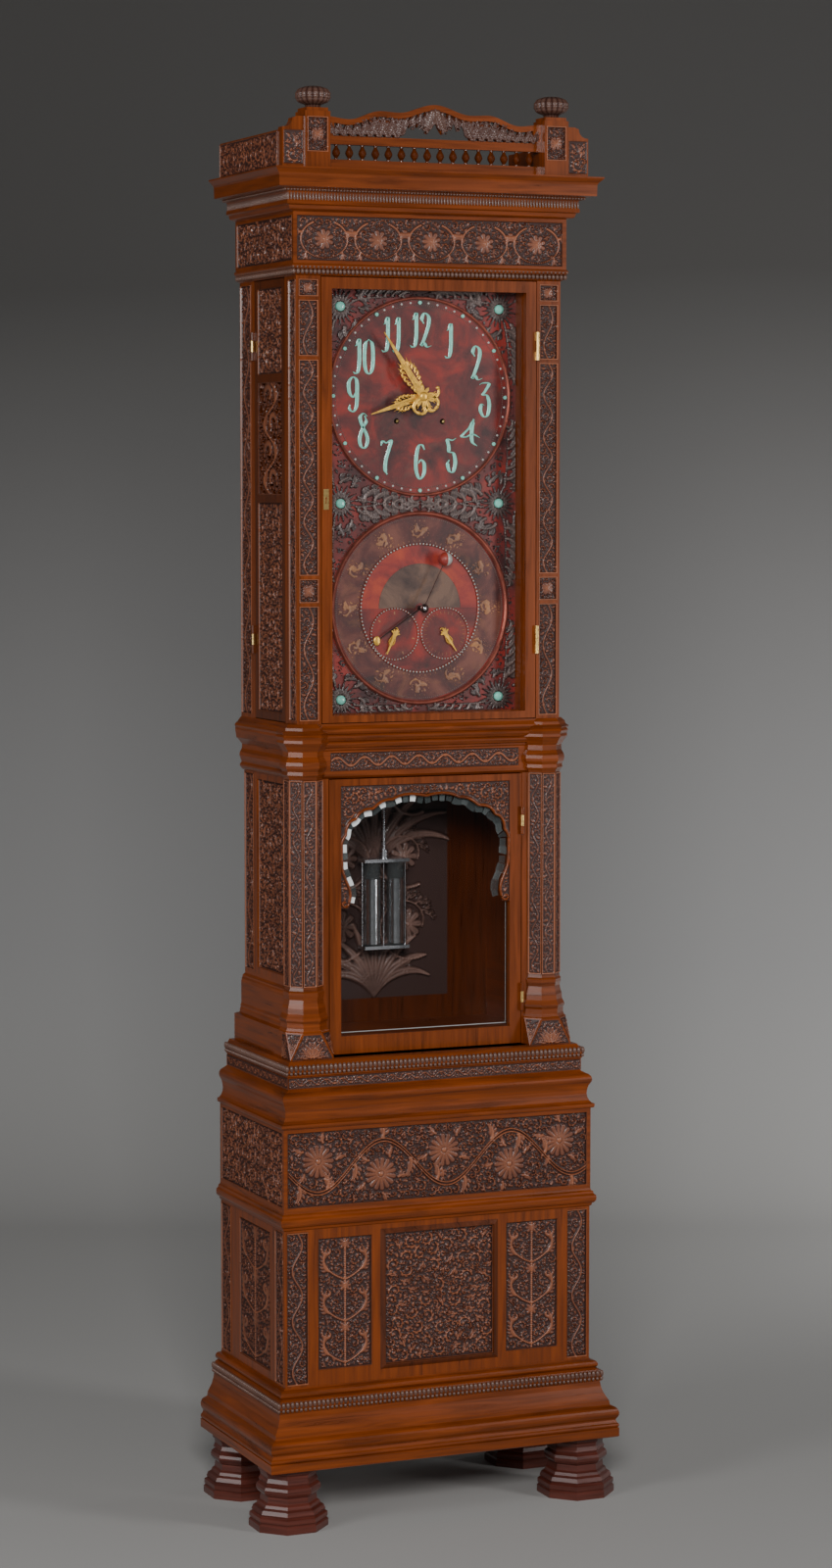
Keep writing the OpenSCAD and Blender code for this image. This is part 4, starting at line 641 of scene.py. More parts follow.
def beads(centres, radius, stretch=(1, 1, 1), sides=6, rings=4):
    """Small balls, one at each centre: rings of a low sphere, closed by a point at each pole."""
    centres = np.asarray(centres, float)
    lat = np.linspace(0, math.pi, rings + 1)[1:-1]
    lon = np.linspace(0, TAU, sides, endpoint=False)
    ball = np.stack([np.outer(np.sin(lat), np.cos(lon)), np.outer(np.sin(lat), np.sin(lon)),
                     np.outer(np.cos(lat), np.ones(sides))], axis=-1).reshape(-1, 3)
    ball = np.concatenate([ball, [[0, 0, 1], [0, 0, -1]]]) * np.array(stretch) * radius
    per = len(ball)
    points = (centres[:, None, :] + ball[None]).reshape(-1, 3)
    k, after = np.arange(sides), (np.arange(sides) + 1) % sides
    last = (rings - 2) * sides
    body = grid_faces(rings - 1, sides, closed=True)[:, ::-1]
    top = np.stack([np.full(sides, per - 2), k, after], axis=-1)
    low = np.stack([np.full(sides, per - 1), last + after, last + k], axis=-1)
    step = (np.arange(len(centres)) * per)[:, None, None]
    return points, [(f[None] + step).reshape(-1, f.shape[1]) for f in (body, top, low)], np.full(len(points), 0.9)


def round_three_sides(out, z, pitch):
    """Points along the front and both sides of the case at a distance out from the plinth's box."""
    half, front, back = HALF_W + out, FRONT_Y - out, BACK_Y - 3
    across = np.linspace(-half, half, int(round(2 * half / pitch)) + 1)
    deep = np.linspace(front, back, int(round((back - front) / pitch)) + 1)[1:]
    return np.concatenate([xyz(across, front, z), xyz(-half, deep, z), xyz(half, deep, z)])


def front_plate(relief, x0, z0, y, **more):
    return plate(relief, (x0, y, z0), (1, 0, 0), (0, 0, 1), **more)


def side_plate(relief, side, x, y0, y1, z0, **more):
    """A plate on the left (-1) or right (1) side of the case, seen from outside."""
    return plate(relief, (side * x, y0 if side > 0 else y1, z0), (0, side, 0), (0, 0, 1), **more)


# Designs of the carving

def arabesque(width, height, pitch, depth, seed):
    """Scrolls and leaves of every size over a whole panel, the largest first, each rooted at its nearest neighbour."""
    return Relief(width, height, pitch).filled(depth * 0.95, seed, 2.7, 14.0, 1.6, depth * 0.8)


def vine_strip(width, height, pitch, depth, seed, rim=1.8):
    """An upright wavy vine with leaves, for stiles and column facets."""
    r = Relief(width, height, pitch)
    waves = max(1, round(height / (width * 2.3)))
    r.vine((width / 2, 0), (width / 2, height), width * 0.24, waves, width * 0.05, depth * 0.8)
    return r.filled(depth * 0.85, seed, 2.5, 7.0, rim, depth)


def vine_band(width, height, pitch, depth, seed):
    """A running vine for a narrow level band."""
    r = Relief(width, height, pitch)
    r.vine((0, height / 2), (width, height / 2), height * 0.24, round(width / height / 1.7), height * 0.07, depth * 0.9)
    return r.filled(depth * 0.85, seed, 1.7, 5.0, 1.2, depth * 0.6)


def flower_square(width, height, pitch, depth, seed):
    """A square with one flower in the middle and leaves in its corners."""
    r = Relief(width, height, pitch)
    c = (width / 2, height / 2)
    for k in range(4):
        r.leaf(c, math.pi / 4 + k * math.pi / 2, min(width, height) * 0.58, 0.5, depth * 0.8, 3)
    r.daisy(c, min(width, height) * 0.27, 10, depth)
    return r.filled(depth * 0.85, seed, 1.8, 6.0, 1.8, depth)


def candelabra(width, height, pitch, depth, seed):
    """An upright stem with three pairs of C-scrolls, for the narrow plinth panels."""
    r = Relief(width, height, pitch)
    mid = width / 2
    r.stroke(np.stack([np.full(60, mid), np.linspace(0, height, 60)], axis=1), 2.6, depth)
    t = steps(26)
    for level in (0.04, 0.36, 0.68):
        z = height * level
        for side in (-1, 1):
            arm = np.stack([mid + side * width * (0.40 * np.sin(t * 2.2)), z + height * 0.25 * t ** 1.3], axis=1)
            r.stroke(arm, 2.6 - 0.8 * t, depth * 0.95)
            r.curl(arm[-1] + (0, -height * 0.02), math.pi / 2 - side * 0.6, width * 0.13, -side, depth * 0.9, 0.27)
            r.leaf(arm[9], math.pi / 2 - side * 1.2, width * 0.28, side * 1.4, depth * 0.85, 4, 1.3)
            r.leaf(arm[16], math.pi / 2 - side * 0.2, width * 0.24, side * 1.6, depth * 0.8, 3, 1.3)
        r.daisy((mid, z + height * 0.27), width * 0.095, 8, depth)
    return r.filled(depth * 0.85, seed, 2.9, 9.0, 1.6, depth * 0.8)


def great_frieze(width, height, pitch, depth):
    """Five large flowers held in the bends of one undulating double stem, over dense leaves."""
    r = Relief(width, height, pitch)
    turns, phase = 14.77, 0.094

    def stem(s):
        return height * 0.5 - height * 0.33 * np.sin(turns * s + phase)

    t = steps(320)
    for shift in (-2.8, 2.8):
        r.stroke(np.stack([t * width, stem(t) + shift], axis=1), 1.7, depth * 0.92)
    for k, (share, level) in enumerate(((0.10, 0.60), (0.305, 0.37), (0.515, 0.63), (0.735, 0.37), (0.905, 0.64))):
        at = np.array([share * width, level * height])
        r.daisy(at, height * 0.21, 15, depth * 0.9, turn=0.2 * k)
        for j in range(5):
            a = j * math.pi * 0.4 + k
            r.leaf(at + way(a) * height * 0.25, a + 0.9, height * 0.20, -1.3, depth * 0.8, 3, 1.3)
    for k in range(11):
        s = (k + 0.4) / 11
        side = 1 if k % 2 else -1
        r.leaf((s * width, float(stem(s)) + 3 * side), side * 1.1, height * 0.27, side * 1.3, depth * 0.85, 4, 1.3)
    return r.filled(depth * 0.85, 11, 3.1, 10.0, 1.6, depth * 0.85)


def top_frieze(width, height, pitch, depth):
    """Five flowers, each in a pair of C-scrolls with leaves."""
    r = Relief(width, height, pitch)
    t = steps(30)
    for k in range(5):
        c = np.array([(k + 0.5) / 5 * width, height * 0.48])
        r.daisy(c, height * 0.20, 9, depth, turn=0.3)
        for side in (-1, 1):
            a = math.pi / 2 + side * (0.5 + 2.6 * t)
            arc = c + np.stack([np.cos(a) * width * 0.086, np.sin(a) * height * 0.42], axis=1)
            r.stroke(arc, 2.6 - 1.0 * t, depth * 0.95)
            r.leaf(arc[8], math.pi / 2 + side * 1.4, height * 0.36, side * 1.2, depth * 0.85, 4, 1.3)
            r.leaf(arc[20], -math.pi / 2 - side * 0.5, height * 0.30, side * 1.5, depth * 0.8, 3, 1.3)
    return r.filled(depth * 0.85, 21, 2.8, 9.0, 1.6, depth * 0.8)


def back_panel(width, height, pitch, depth):
    """Large acanthus scrolls, each round a flower, and two plumes of long leaves rising between them."""
    r = Relief(width, height, pitch)
    t = steps(60)
    for side in (-1, 1):
        for x, z, size in ((0.22, 0.30, 0.135), (0.20, 0.58, 0.12), (0.24, 0.86, 0.10)):
            at = np.array([width * (0.5 + side * x), height * z])
            a = -math.pi / 2 + side * (0.5 - 5.4 * t)
            ring = at + ways(a) * (height * size * (1.12 - 0.62 * t))[:, None]
            r.stroke(ring, 4.6 - 2.6 * t, depth * 0.9)
            for k in range(4, 50, 5):
                r.leaf(ring[k], a[k] - side * 0.7, height * size * 0.62, -side * 1.2, depth * 0.75, 5, 0.8)
            r.daisy(at, height * size * 0.42, 9, depth)
    t = steps(40)
    for low, length in ((0.0, 0.34), (0.52, 0.46)):
        for k in range(9):
            a = math.pi / 2 + (k - 4) * (0.10 + 0.42 * t)
            line = (width / 2, height * low) + np.cumsum(ways(a), axis=0) * height * (length - 0.012 * abs(k - 4)) / 40
            r.stroke(line, 9.5 * np.sin(math.pi * (0.10 + 0.80 * t)), depth * (0.5 + 0.5 * t), 0.35)
    return r


def dial_foliage(width, height, z0, pitch, depth, flowers, circles):
    """Leaves round the corner flowers and along the rims of the dials, kept out of the dials' circles."""
    r = Relief(width, height, pitch)
    inside = np.zeros_like(r.h, bool)
    for cz, radius in circles:
        inside |= (r.u[None, :] - width / 2) ** 2 + (r.v[:, None] + z0 - cz) ** 2 < radius ** 2
        r.gap = np.minimum(r.gap, np.hypot(r.cu[None, :] - width / 2, r.cv[:, None] + z0 - cz) - radius)
    petal, q = np.linspace(0.36, 1, 8), steps(28)
    for n, (fx, fz) in enumerate(flowers):
        at = np.array([fx + width / 2, fz - z0])
        r.stroke([at], 11.0, 0.01)
        for k in range(20):
            ray = at + np.outer(petal * (31 + 5 * (k % 2)), way(k * 2 * math.pi / 20 + 0.1 * n))
            r.stroke(ray, 3.3 * np.sin(np.pi * (0.15 + 0.72 * petal)), depth * (1.0 - 0.35 * petal), 0.3)
        for cz, radius in circles:
            centre = np.array([width / 2, cz - z0])
            away = at - centre
            if np.hypot(*away) > radius + 80:
                continue
            for turn in (-1, 1):
                a = math.atan2(away[1], away[0]) + turn * (0.12 + 0.50 * q)
                reach = radius + 6 + (np.hypot(*away) - radius - 6) * 0.8 * (1 - q) ** 1.5
                stem = centre + ways(a) * reach[:, None]
                r.stroke(stem, 3.4 - 2.0 * q, depth * 0.9)
                for k in range(6):
                    i = 3 + 4 * k
                    r.leaf(stem[i], a[i] + turn * 0.7, 44 - 3 * k, turn * 1.6, depth, 6, 1.15)
                r.curl(stem[-1], a[-1] + turn * 1.5, 11, -turn, depth, 0.3)
        for k in range(10):
            a = k * 2 * math.pi / 10 + 0.5 * n
            r.leaf(at + way(a) * 34, a - 0.6, 30 + 9 * (k % 3), 1.6 - 3.2 * (k % 2), depth * 0.9, 5, 1.2)
    r.pack(depth * 0.8, 7, 5.0, 12.0)
    r.h = np.where(inside | (r.h < 0.05), 0.0, r.h)
    return r


# Operators

class CLOCK_OT_finishes(bpy.types.Operator):
    """Make the finishes and give every solid its own."""
    bl_idname = "clock.finishes"
    bl_label = "Finishes"

    def execute(self, context):
        c = context.scene.clock_finishes
        wood, hollow, carving, crest = (tuple(v) for v in (c.mahogany, c.hollow, c.carving, c.crest))
        level, upright = (5, 5, 90), (90, 90, 5)
        for name, kind, *look in (
                ("level wood", polished_wood, wood, level),
                ("upright wood", polished_wood, wood, upright),
                ("dark wood", polished_wood, shade(wood, 0.50), upright),
                ("foot wood", polished_wood, (0.085, 0.020, 0.013), level),
                # Carved finishes: painted shade in the hollows, the carving's own colour between, and painted highlight
                # on the crests.
                ("carved wood", carved_wood, hollow, carving, crest),
                ("bead wood", carved_wood, hollow, shade(carving, 0.7), (0.12, 0.062, 0.045)),
                # Painted shade: a darker copy of the carving for the case's sides, which take less light than the
                # front.
                ("side carving", carved_wood, shade(hollow, 0.9), shade(carving, 0.85), shade(crest, 0.9)),
                ("back carving", carved_wood, (0.045, 0.019, 0.015), (0.080, 0.040, 0.032), (0.30, 0.175, 0.14)),
                ("brass", plain_metal, (0.78, 0.53, 0.20), 0.22),
                ("steel", plain_metal, (0.58, 0.59, 0.62), 0.2, 0.7, 4),
                ("dark rod", plain_metal, (0.075, 0.040, 0.035), 0.3, 0.7, 4),
                ("bright steel", plain_metal, (0.80, 0.81, 0.84), 0.08, 0.8),
                ("gilt", plain_metal, tuple(c.gilt), 0.30, 0.55, 60, 0.6),
                ("copper rim", plain_metal, (0.34, 0.085, 0.055), 0.26, 0.5, 20, 0.6),
                ("lacquer", mottled_lacquer,
                 (0.040, 0.008, 0.008), (0.125, 0.014, 0.012), (0.27, 0.019, 0.011), (0.12, 0.050, 0.034)),
                ("sky lacquer", mottled_lacquer,
                 (0.10, 0.012, 0.012), (0.26, 0.022, 0.016), (0.40, 0.045, 0.016), (0.20, 0.05, 0.05)),
                ("earth lacquer", mottled_lacquer,
                 (0.040, 0.018, 0.014), (0.090, 0.046, 0.032), (0.16, 0.085, 0.055), (0.22, 0.10, 0.04)),
                ("band lacquer", mottled_lacquer,
                 (0.034, 0.010, 0.010), (0.085, 0.018, 0.015), (0.17, 0.050, 0.032), (0.22, 0.085, 0.035), 0.5),
                ("cartouche", mottled_lacquer,
                 (0.13, 0.050, 0.028), (0.25, 0.11, 0.055), (0.38, 0.16, 0.06), (0.50, 0.19, 0.05)),
                ("foliage", dark_foliage),
                ("turquoise", enamel, tuple(c.turquoise)),
                ("moon white", enamel, (0.50, 0.50, 0.46)),
                ("gut", enamel, (0.09, 0.05, 0.03)),
                ("pane", clear_glass, 0.03),
                ("jar glass", clear_glass, 0.05, 0.25),
                ("bevel", bevel_glass)):
            MATERIALS[name] = kind(name, *look)
        groups = {
            "level wood": "base_moulding ogee_moulding middle_cornice top_cornice trunk_base big_frieze upper_frieze "
                          "seatboard gallery_crest",
            "upright wood": "plinth_case lower_sides lower_jambs corner_posts gallery_frame upper_door_frame "
                            "lower_door_frame dial_surround",
            "dark wood": "plinth_panels columns backboard side_door_left side_door_right arch_fret gallery_spindles "
                         "finials",
            "brass": "movement_plates case_hinges upper_door_fittings centre_arbor minute_wheel going_great_wheel "
                     "going_barrel third_wheel escape_wheel going_weight strike_weight strike_great_wheel "
                     "strike_barrel pin_wheel",
            "steel": "suspension_bracket bell pallets hammer pendulum_rod", "dark rod": "moon_arm sun_arm",
            "gilt": "minute_hand hour_hand day_hand date_hand", "foot wood": "feet", "lacquer": "dial_plate",
            "copper rim": "dial_rings", "turquoise": "dial_studs", "bright steel": "mercury",
            "jar glass": "pendulum_jars", "pane": "upper_door_glass lower_door_glass", "gut": "going_line strike_line"}
        chosen = {node: finish for finish, nodes in groups.items() for node in nodes.split()}
        for node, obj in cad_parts.items():
            obj.data.materials.clear()
            obj.data.materials.append(MATERIALS[chosen[node]])
        return {"FINISHED"}


class CLOCK_OT_plinth(bpy.types.Operator):
    """Carve the plinth's front and side panels and its stiles."""
    bl_idname = "clock.plinth"
    bl_label = "Plinth carving"

    def execute(self, context):
        pitch, side_pitch, _, depth = sizes(context)
        z0, z1 = PLINTH_LOW[2], PLINTH_HIGH[2]
        panel_z0, panel_z1 = z0 + 28.5, z1 - 18.5
        tall = panel_z1 - panel_z0
        face = FRONT_Y + 4
        edge, narrow, mullion = HALF_W - 65.5, 103, 25.5
        centre = edge - narrow - mullion
        middle = arabesque(2 * centre - 1, tall, pitch, depth, 31)
        build("plinth_front_carving", [front_plate(middle, -centre + 0.5, panel_z0, face)], "carved wood")
        build("plinth_narrow_carving", [
            front_plate(candelabra(narrow - 1, tall, pitch, depth, 41 + n), x0 + 0.5, panel_z0, face)
            for n, x0 in enumerate((-edge, edge - narrow))], "carved wood")
        build("plinth_stile_carving", [
            front_plate(vine_strip(39.4, z1 - z0 - 9, pitch, depth, 51 + n), x0, z0 + 4.5, face)
            for n, x0 in enumerate((-HALF_W + 6.3, HALF_W - 45.7))], "carved wood")
        y0, y1 = FRONT_Y + 72.5, BACK_Y - 99.5
        x = HALF_W - 4
        for n, side in enumerate((-1, 1)):
            panel = candelabra(y1 - y0, tall + 14, side_pitch, depth, 61 + n)
            sides = [side_plate(panel, side, x, y0, y1, panel_z0 - 11)]
            for k, (a, b) in enumerate(((FRONT_Y + 6.3, FRONT_Y + 45.7), (BACK_Y - 51.7, BACK_Y - 4.3))):
                strip = vine_strip(b - a, z1 - z0 - 9, side_pitch, depth, 65 + 2 * n + k)
                sides.append(side_plate(strip, side, x, a, b, z0 + 4.5))
            build(f"plinth_side_carving_{SIDE_NAMES[n]}", sides, "side carving")
        return {"FINISHED"}


class CLOCK_OT_friezes(bpy.types.Operator):
    """Carve the great frieze, the top frieze and the narrow bands."""
    bl_idname = "clock.friezes"
    bl_label = "Friezes"

    def execute(self, context):
        pitch, side_pitch, _, depth = sizes(context)

        def two_sides(x, y0, z0, tall, seed):
            y1 = BACK_Y - 7.3
            return [side_plate(arabesque(y1 - y0, tall, side_pitch, depth, seed + n), side, x, y0, y1, z0)
                    for n, side in enumerate((-1, 1))]

        z0, z1 = OGEE_Z - 141, OGEE_Z - 7
        half, tall = HALF_W - 7, z1 - z0 - 0.6
        front = great_frieze(2 * half - 0.6, tall, pitch, depth + 0.9)
        build("great_frieze_front", [front_plate(front, -half + 0.3, z0 + 0.3, FRONT_Y + 3)], "carved wood")
        build("great_frieze_sides", two_sides(HALF_W - 3, FRONT_Y + 7.3, z0 + 0.3, tall, 71), "side carving")
        z0, z1 = TOP_FRIEZE_LOW[2] + 26.3, TOP_FRIEZE_HIGH[2] - 6.3
        half = HALF_W - POST_STEP - 7.3
        front = top_frieze(2 * half, z1 - z0, pitch, depth)
        build("top_frieze_front", [front_plate(front, -half, z0, FRONT_Y + POST_STEP + 3)], "carved wood")
        sides = two_sides(HALF_W - POST_STEP - 3, FRONT_Y + POST_STEP + 7.3, z0, z1 - z0, 75)
        build("top_frieze_sides", sides, "side carving")
        band_z, inset = OGEE_Z + 70, 14
        half = HALF_W - inset - 1
        bands = [front_plate(vine_band(2 * half, 19, pitch, 2.4, 81), -half, band_z, FRONT_Y + inset)]
        y0, y1 = FRONT_Y + inset + 1, BACK_Y - 2
        for side in (-1, 1):
            strip = vine_band(y1 - y0, 19, side_pitch, 2.4, 83)
            bands.append(side_plate(strip, side, HALF_W - inset, y0, y1, band_z))
        half = COLUMN_HIGH[0] - 80.3
        bands.append(front_plate(vine_band(2 * half, 32.4, pitch, 3.4, 87), -half, MIDDLE_Z + 13.3, FRONT_Y + 67.5))
        build("narrow_bands", bands, "carved wood")
        return {"FINISHED"}


class CLOCK_OT_trunk(bpy.types.Operator):
    """Carve the columns and their feet, the lower sides and the upper posts."""
    bl_idname = "clock.trunk"
    bl_label = "Trunk carving"

    def execute(self, context):
        pitch, side_pitch, _, depth = sizes(context)
        apothem = (COLUMN_HIGH[1] - COLUMN_LOW[1]) / 2
        cx, cy = COLUMN_HIGH[0] - apothem, COLUMN_LOW[1] + apothem
        self.columns(cx, cy, apothem, pitch)
        x = SIDE_HIGH[0]
        low, tall = SIDE_LOW[2], SIDE_HIGH[2] - SIDE_LOW[2]
        x0, x1 = POST_HIGH[0] - 41.2, POST_HIGH[0] - 4.8
        base, height = POST_LOW[2], POST_HIGH[2] - POST_LOW[2]
        fields = ((6, 208), (214, 256), (262, 640), (646, height - 42), (height - 36, height - 6))
        for n, side in enumerate((-1, 1)):
            y0, y1 = cy + apothem + 16.3, BACK_Y - 66.3
            panel = arabesque(y1 - y0, tall - 24.6, side_pitch, depth, 101 + n)
            parts = [side_plate(panel, side, x - 6, y0, y1, low + 12.3)]
            a, b = BACK_Y - 47.7, BACK_Y - 4.3
            strip = vine_strip(b - a, tall - 8.6, side_pitch, depth, 105 + n)
            parts.append(side_plate(strip, side, x - 3, a, b, low + 4.3))
            build(f"lower_side_carving_{SIDE_NAMES[n]}", parts, "side carving")
        for n, side in enumerate((-1, 1)):
            parts = []
            for k, (a, b) in enumerate(fields):
                kind = flower_square if b - a < 60 else vine_strip
                carving = kind(x1 - x0, b - a - 0.6, pitch, depth, 111 + 5 * n + k)
                parts.append(front_plate(carving, x0 if side > 0 else -x1, base + a + 0.3, POST_LOW[1] + 3))
            build(f"post_front_carving_{SIDE_NAMES[n]}", parts, "carved wood")
            parts = []
            for a, b in ((POST_LOW[1] + 4.3, POST_LOW[1] + 35.7), (BACK_Y - 54.7, BACK_Y - 4.3)):
                strip = vine_strip(b - a, height - 12.6, side_pitch, depth, 121 + n)
                parts.append(side_plate(strip, side, POST_HIGH[0] - 3, a, b, base + 6.3))
            build(f"post_side_carving_{SIDE_NAMES[n]}", parts, "side carving")
        return {"FINISHED"}

    def columns(self, cx, cy, apothem, pitch):
        """A vine up each facet that shows of the octagonal columns, over the leaf panels of their feet."""
        width = 2 * apothem * math.tan(math.pi / 8) - 0.8
        z0, z1 = COLUMN_LOW[2] + 1, COLUMN_HIGH[2] - 1
        for n, side in enumerate((-1, 1)):
            parts = []
            for k in range(-3, 4):
                out, across = facet(-math.pi / 2 + k * math.pi / 4)
                origin = np.array([side * cx, cy, z0]) + out * apothem - across * width / 2
                strip = vine_strip(width, z1 - z0, pitch, 2.0, 91 + 7 * n + k, 2.4)
                parts.append(plate(strip, origin, across, (0, 0, 1)))
            parts.extend(self.column_foot(side, side * cx, cy, pitch))
            build(f"column_carving_{SIDE_NAMES[n]}", parts, "carved wood")

    def column_foot(self, side, x, y, pitch):
        """Leaf panels on a column's plinth: its square foot narrows to an octagon through a pointed chamfer, which
        leans back by its slope over its rise."""
        foot, shaft, face_rise, chamfer_rise, clear = COLUMN_FOOT / 2, 42.4, 46.0, 48.0, 2.0
        chamfer = foot * math.tan(math.pi / 8)
        plates = []
        for k in (-1, 0, 1, 2):
            out, across = facet(-math.pi / 2 + side * k * math.pi / 4)
            corner = k % 2
            rise, slope = (chamfer_rise, foot * math.sqrt(2) - shaft) if corner else (face_rise, 0.0)
            length = math.hypot(rise, slope)
            up = (np.array([0, 0, rise]) - out * slope) / length
            half = chamfer if corner else foot
            leaves = Relief(2 * half, length - 3, pitch)
            for turn in (-1.0, -0.5, 0, 0.5, 1.0):
                leaves.leaf((half, 1), math.pi / 2 - turn, 40 - 6 * abs(turn), -turn * 0.9, 2.2, 5, 0.7)
            leaves.pack(1.9, 181 + k, 2.6, 8.0)
            rising = leaves.v[:, None] / length
            room = chamfer * rising if corner else foot - (foot - chamfer) * rising
            mask = np.abs(leaves.u[None, :] - half) < room - clear
            if k == 2:
                mask &= side * (leaves.u[None, :] - half) < -1
            origin = np.array([x, y, SKIRT_Z + 0.5]) + out * foot * (math.sqrt(2) if corner else 1) - across * half
            plates.append(plate(leaves, origin, across, up, mask=mask))
        return plates


def facet(angle):
    """The level directions out of an upright facet and across it."""
    return np.array([math.cos(angle), math.sin(angle), 0]), np.array([-math.sin(angle), math.cos(angle), 0])


class CLOCK_OT_side_doors(bpy.types.Operator):
    """Carve the side doors: two panels and a pierced scroll over the sound fret."""
    bl_idname = "clock.side_doors"
    bl_label = "Side doors"

    def execute(self, context):
        _, pitch, _, depth = sizes(context)
        x, rail = POST_HIGH[0], 14.3
        y0, y1 = POST_LOW[1] + 57.5, BACK_Y - 74
        z0, z1 = POST_LOW[2] + 1.5, POST_HIGH[2] - 1.5
        fret = (POST_LOW[2] + 404, POST_LOW[2] + 604)
        width, height = y1 - y0 - 2 * rail, fret[1] - fret[0]
        for n, side in enumerate((-1, 1)):
            parts = []
            for k, (a, b) in enumerate(((z0 + rail, fret[0] - rail), (fret[1] + rail, z1 - rail))):
                panel = arabesque(width, b - a, pitch, depth, 131 + 2 * n + k)
                parts.append(side_plate(panel, side, x - 6, y0 + rail, y1 - rail, a, thick=1.5))
            screen = Relief(width, height, pitch)
            screen.vine((width / 2, 0), (width / 2, height), width * 0.26, 2, 3.0, 3.4)
            screen.filled(3.0, 141 + n, 3.0, 8.0, 3.0, 2.0)
            parts.append(side_plate(screen, side, x - 4, y0 + rail, y1 - rail, fret[0], mask=screen.h > 0.7, thick=0.6))
            body = f"{SIDE_NAMES[n]}_side_door"
            build(f"{body}_carving", parts, "side carving", body)
        return {"FINISHED"}


class CLOCK_OT_beads(bpy.types.Operator):
    """Set the rows of beads and reeds round the mouldings."""
    bl_idname = "clock.beads"
    bl_label = "Beads and reeds"

    def execute(self, context):
        pitch = sizes(context)[2]
        base, ogee, frieze, cornice = BASE_Z + 112, OGEE_Z + 102.5, TOP_FRIEZE_LOW[2] + 6.2, CORNICE_Z
        # Distance out, level, pitch, radius, stretch, sides and rings of the beads in each row
        rows = ((16.5, base + 3.5, pitch, 4.6, (0.84, 0.88, 1.35), 8, 6), (16.5, base - 6, pitch, 3.3, (1.0, 0.8, 1.1)),
                (-11, ogee + 3.5, pitch, 4.6, (0.84, 0.88, 1.35), 8, 6), (-11, ogee - 5.5, pitch, 3.2, (1.0, 0.8, 1.1)),
                (-38.5, frieze + 1, pitch * 0.94, 4.2, (0.9, 0.9, 1.2), 8, 6), (-36, frieze + 9, pitch * 0.94, 2.8),
                (-13, cornice + 36, 5.8, 2.5), (-21.6, cornice + 24, 5.8, 2.4, (1.0, 1.0, 4.4)))
        build("bead_rows", [beads(round_three_sides(*row[:3]), *row[3:]) for row in rows], "bead wood")
        return {"FINISHED"}


class CLOCK_OT_gallery(bpy.types.Operator):
    """Make the melon finials, the pierced crest foliage and the gallery's carved faces."""
    bl_idname = "clock.gallery"
    bl_label = "Gallery"

    def execute(self, context):
        pitch, side_pitch, _, depth = sizes(context)
        radius = (FINIAL_HIGH[1] - FINIAL_LOW[1]) / 2
        cx, cy = FINIAL_HIGH[0] - radius, (FINIAL_LOW[1] + FINIAL_HIGH[1]) / 2
        parts = [melon(side * cx, cy, FINIAL_LOW[2], FINIAL_HIGH[2], radius) for side in (-1, 1)]
        finials = build("melon_finials", parts, "bead wood")
        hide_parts("finials")
        parts = []
        z0 = GALLERY_LOW[2]
        post = 23.5
        ear0 = cx + post + 3
        width = GALLERY_HIGH[0] - ear0 - 3
        y0, y1 = GALLERY_LOW[1] + 26, GALLERY_HIGH[1] - 3
        for side in (-1, 1):
            flower = flower_square(38, 60, pitch, depth, 151)
            ear = arabesque(width, 58, pitch, 2.6, 153)
            panel = arabesque(y1 - y0, 59, side_pitch, 2.8, 155 + side)
            parts += [front_plate(flower, side * cx - 19, z0 + 28, GALLERY_LOW[1] + 3),
                      front_plate(ear, ear0 if side > 0 else -ear0 - width, z0 + 6, GALLERY_LOW[1] + 4),
                      side_plate(panel, side, GALLERY_HIGH[0], y0, y1, z0 + 3)]
        build("gallery_carving", parts, "carved wood")
        build("crest_foliage", [crest_foliage(cx - post, pitch)], "bead wood")
        return {"FINISHED"}


def melon(cx, cy, base, top, radius):
    """A lobed melon on a short neck: radius times (1 - |2 u - 1| ** 2.4) ** (1 / 2.4) up its height u, times lobes of
    0.90 + 0.10 * |sin(8 a)| ** 0.7 round it and faint level seams."""
    neck, sides = 0.13, 128
    u = 0.5 - 0.5 * np.cos(np.linspace(0.06, math.pi - 0.06, 34))
    bun = (1 - np.abs(2 * u - 1) ** 2.4) ** (1 / 2.4)
    z = np.concatenate([[0, neck * 0.5, neck * 0.98], neck + (1 - neck) * u]) * (top - base) + base
    profile = radius * np.concatenate([[0.50, 0.40, 0.46], np.maximum(bun, 0.05)])
    a = np.linspace(0, TAU, sides, endpoint=False)
    swell = np.abs(np.sin(a * 8)) ** 0.7
    seam = 0.955 + 0.045 * np.abs(np.cos(z[:, None] * 0.45))
    n = len(z)
    r = np.where(np.arange(n)[:, None] < 3, 1.0, (0.90 + 0.10 * swell)[None, :] * seam) * profile[:, None]
    points = xyz(cx + r * np.cos(a), cy + r * np.sin(a), z[:, None]).reshape(-1, 3)
    # Relief value high on the lobes and low between them: painted shade in the seams and painted highlight on the
    # lobes.
    relief = np.broadcast_to(swell[None, :] * 0.8 + 0.1, r.shape).reshape(-1)
    caps = [list(range(sides - 1, -1, -1)), list(range((n - 1) * sides, n * sides))]
    return points, [grid_faces(n, sides, closed=True), *caps], relief


def crest_height(s):
    """Top edge of the crest rail above the deck, at a share s of the half span: cosine blends between five levels."""
    ends = [(0.0, 118.0), (0.34, 102.0), (0.5, 103.5), (0.8, 87.0), (1.0, 91.0)]
    out = np.zeros_like(s)
    for (a, ha), (b, hb) in zip(ends[:-1], ends[1:]):
        part = np.clip((s - a) / (b - a), 0, 1)
        out = np.where((s >= a) & (s <= b), ha + (hb - ha) * (1 - np.cos(math.pi * part)) / 2, out)
    return out


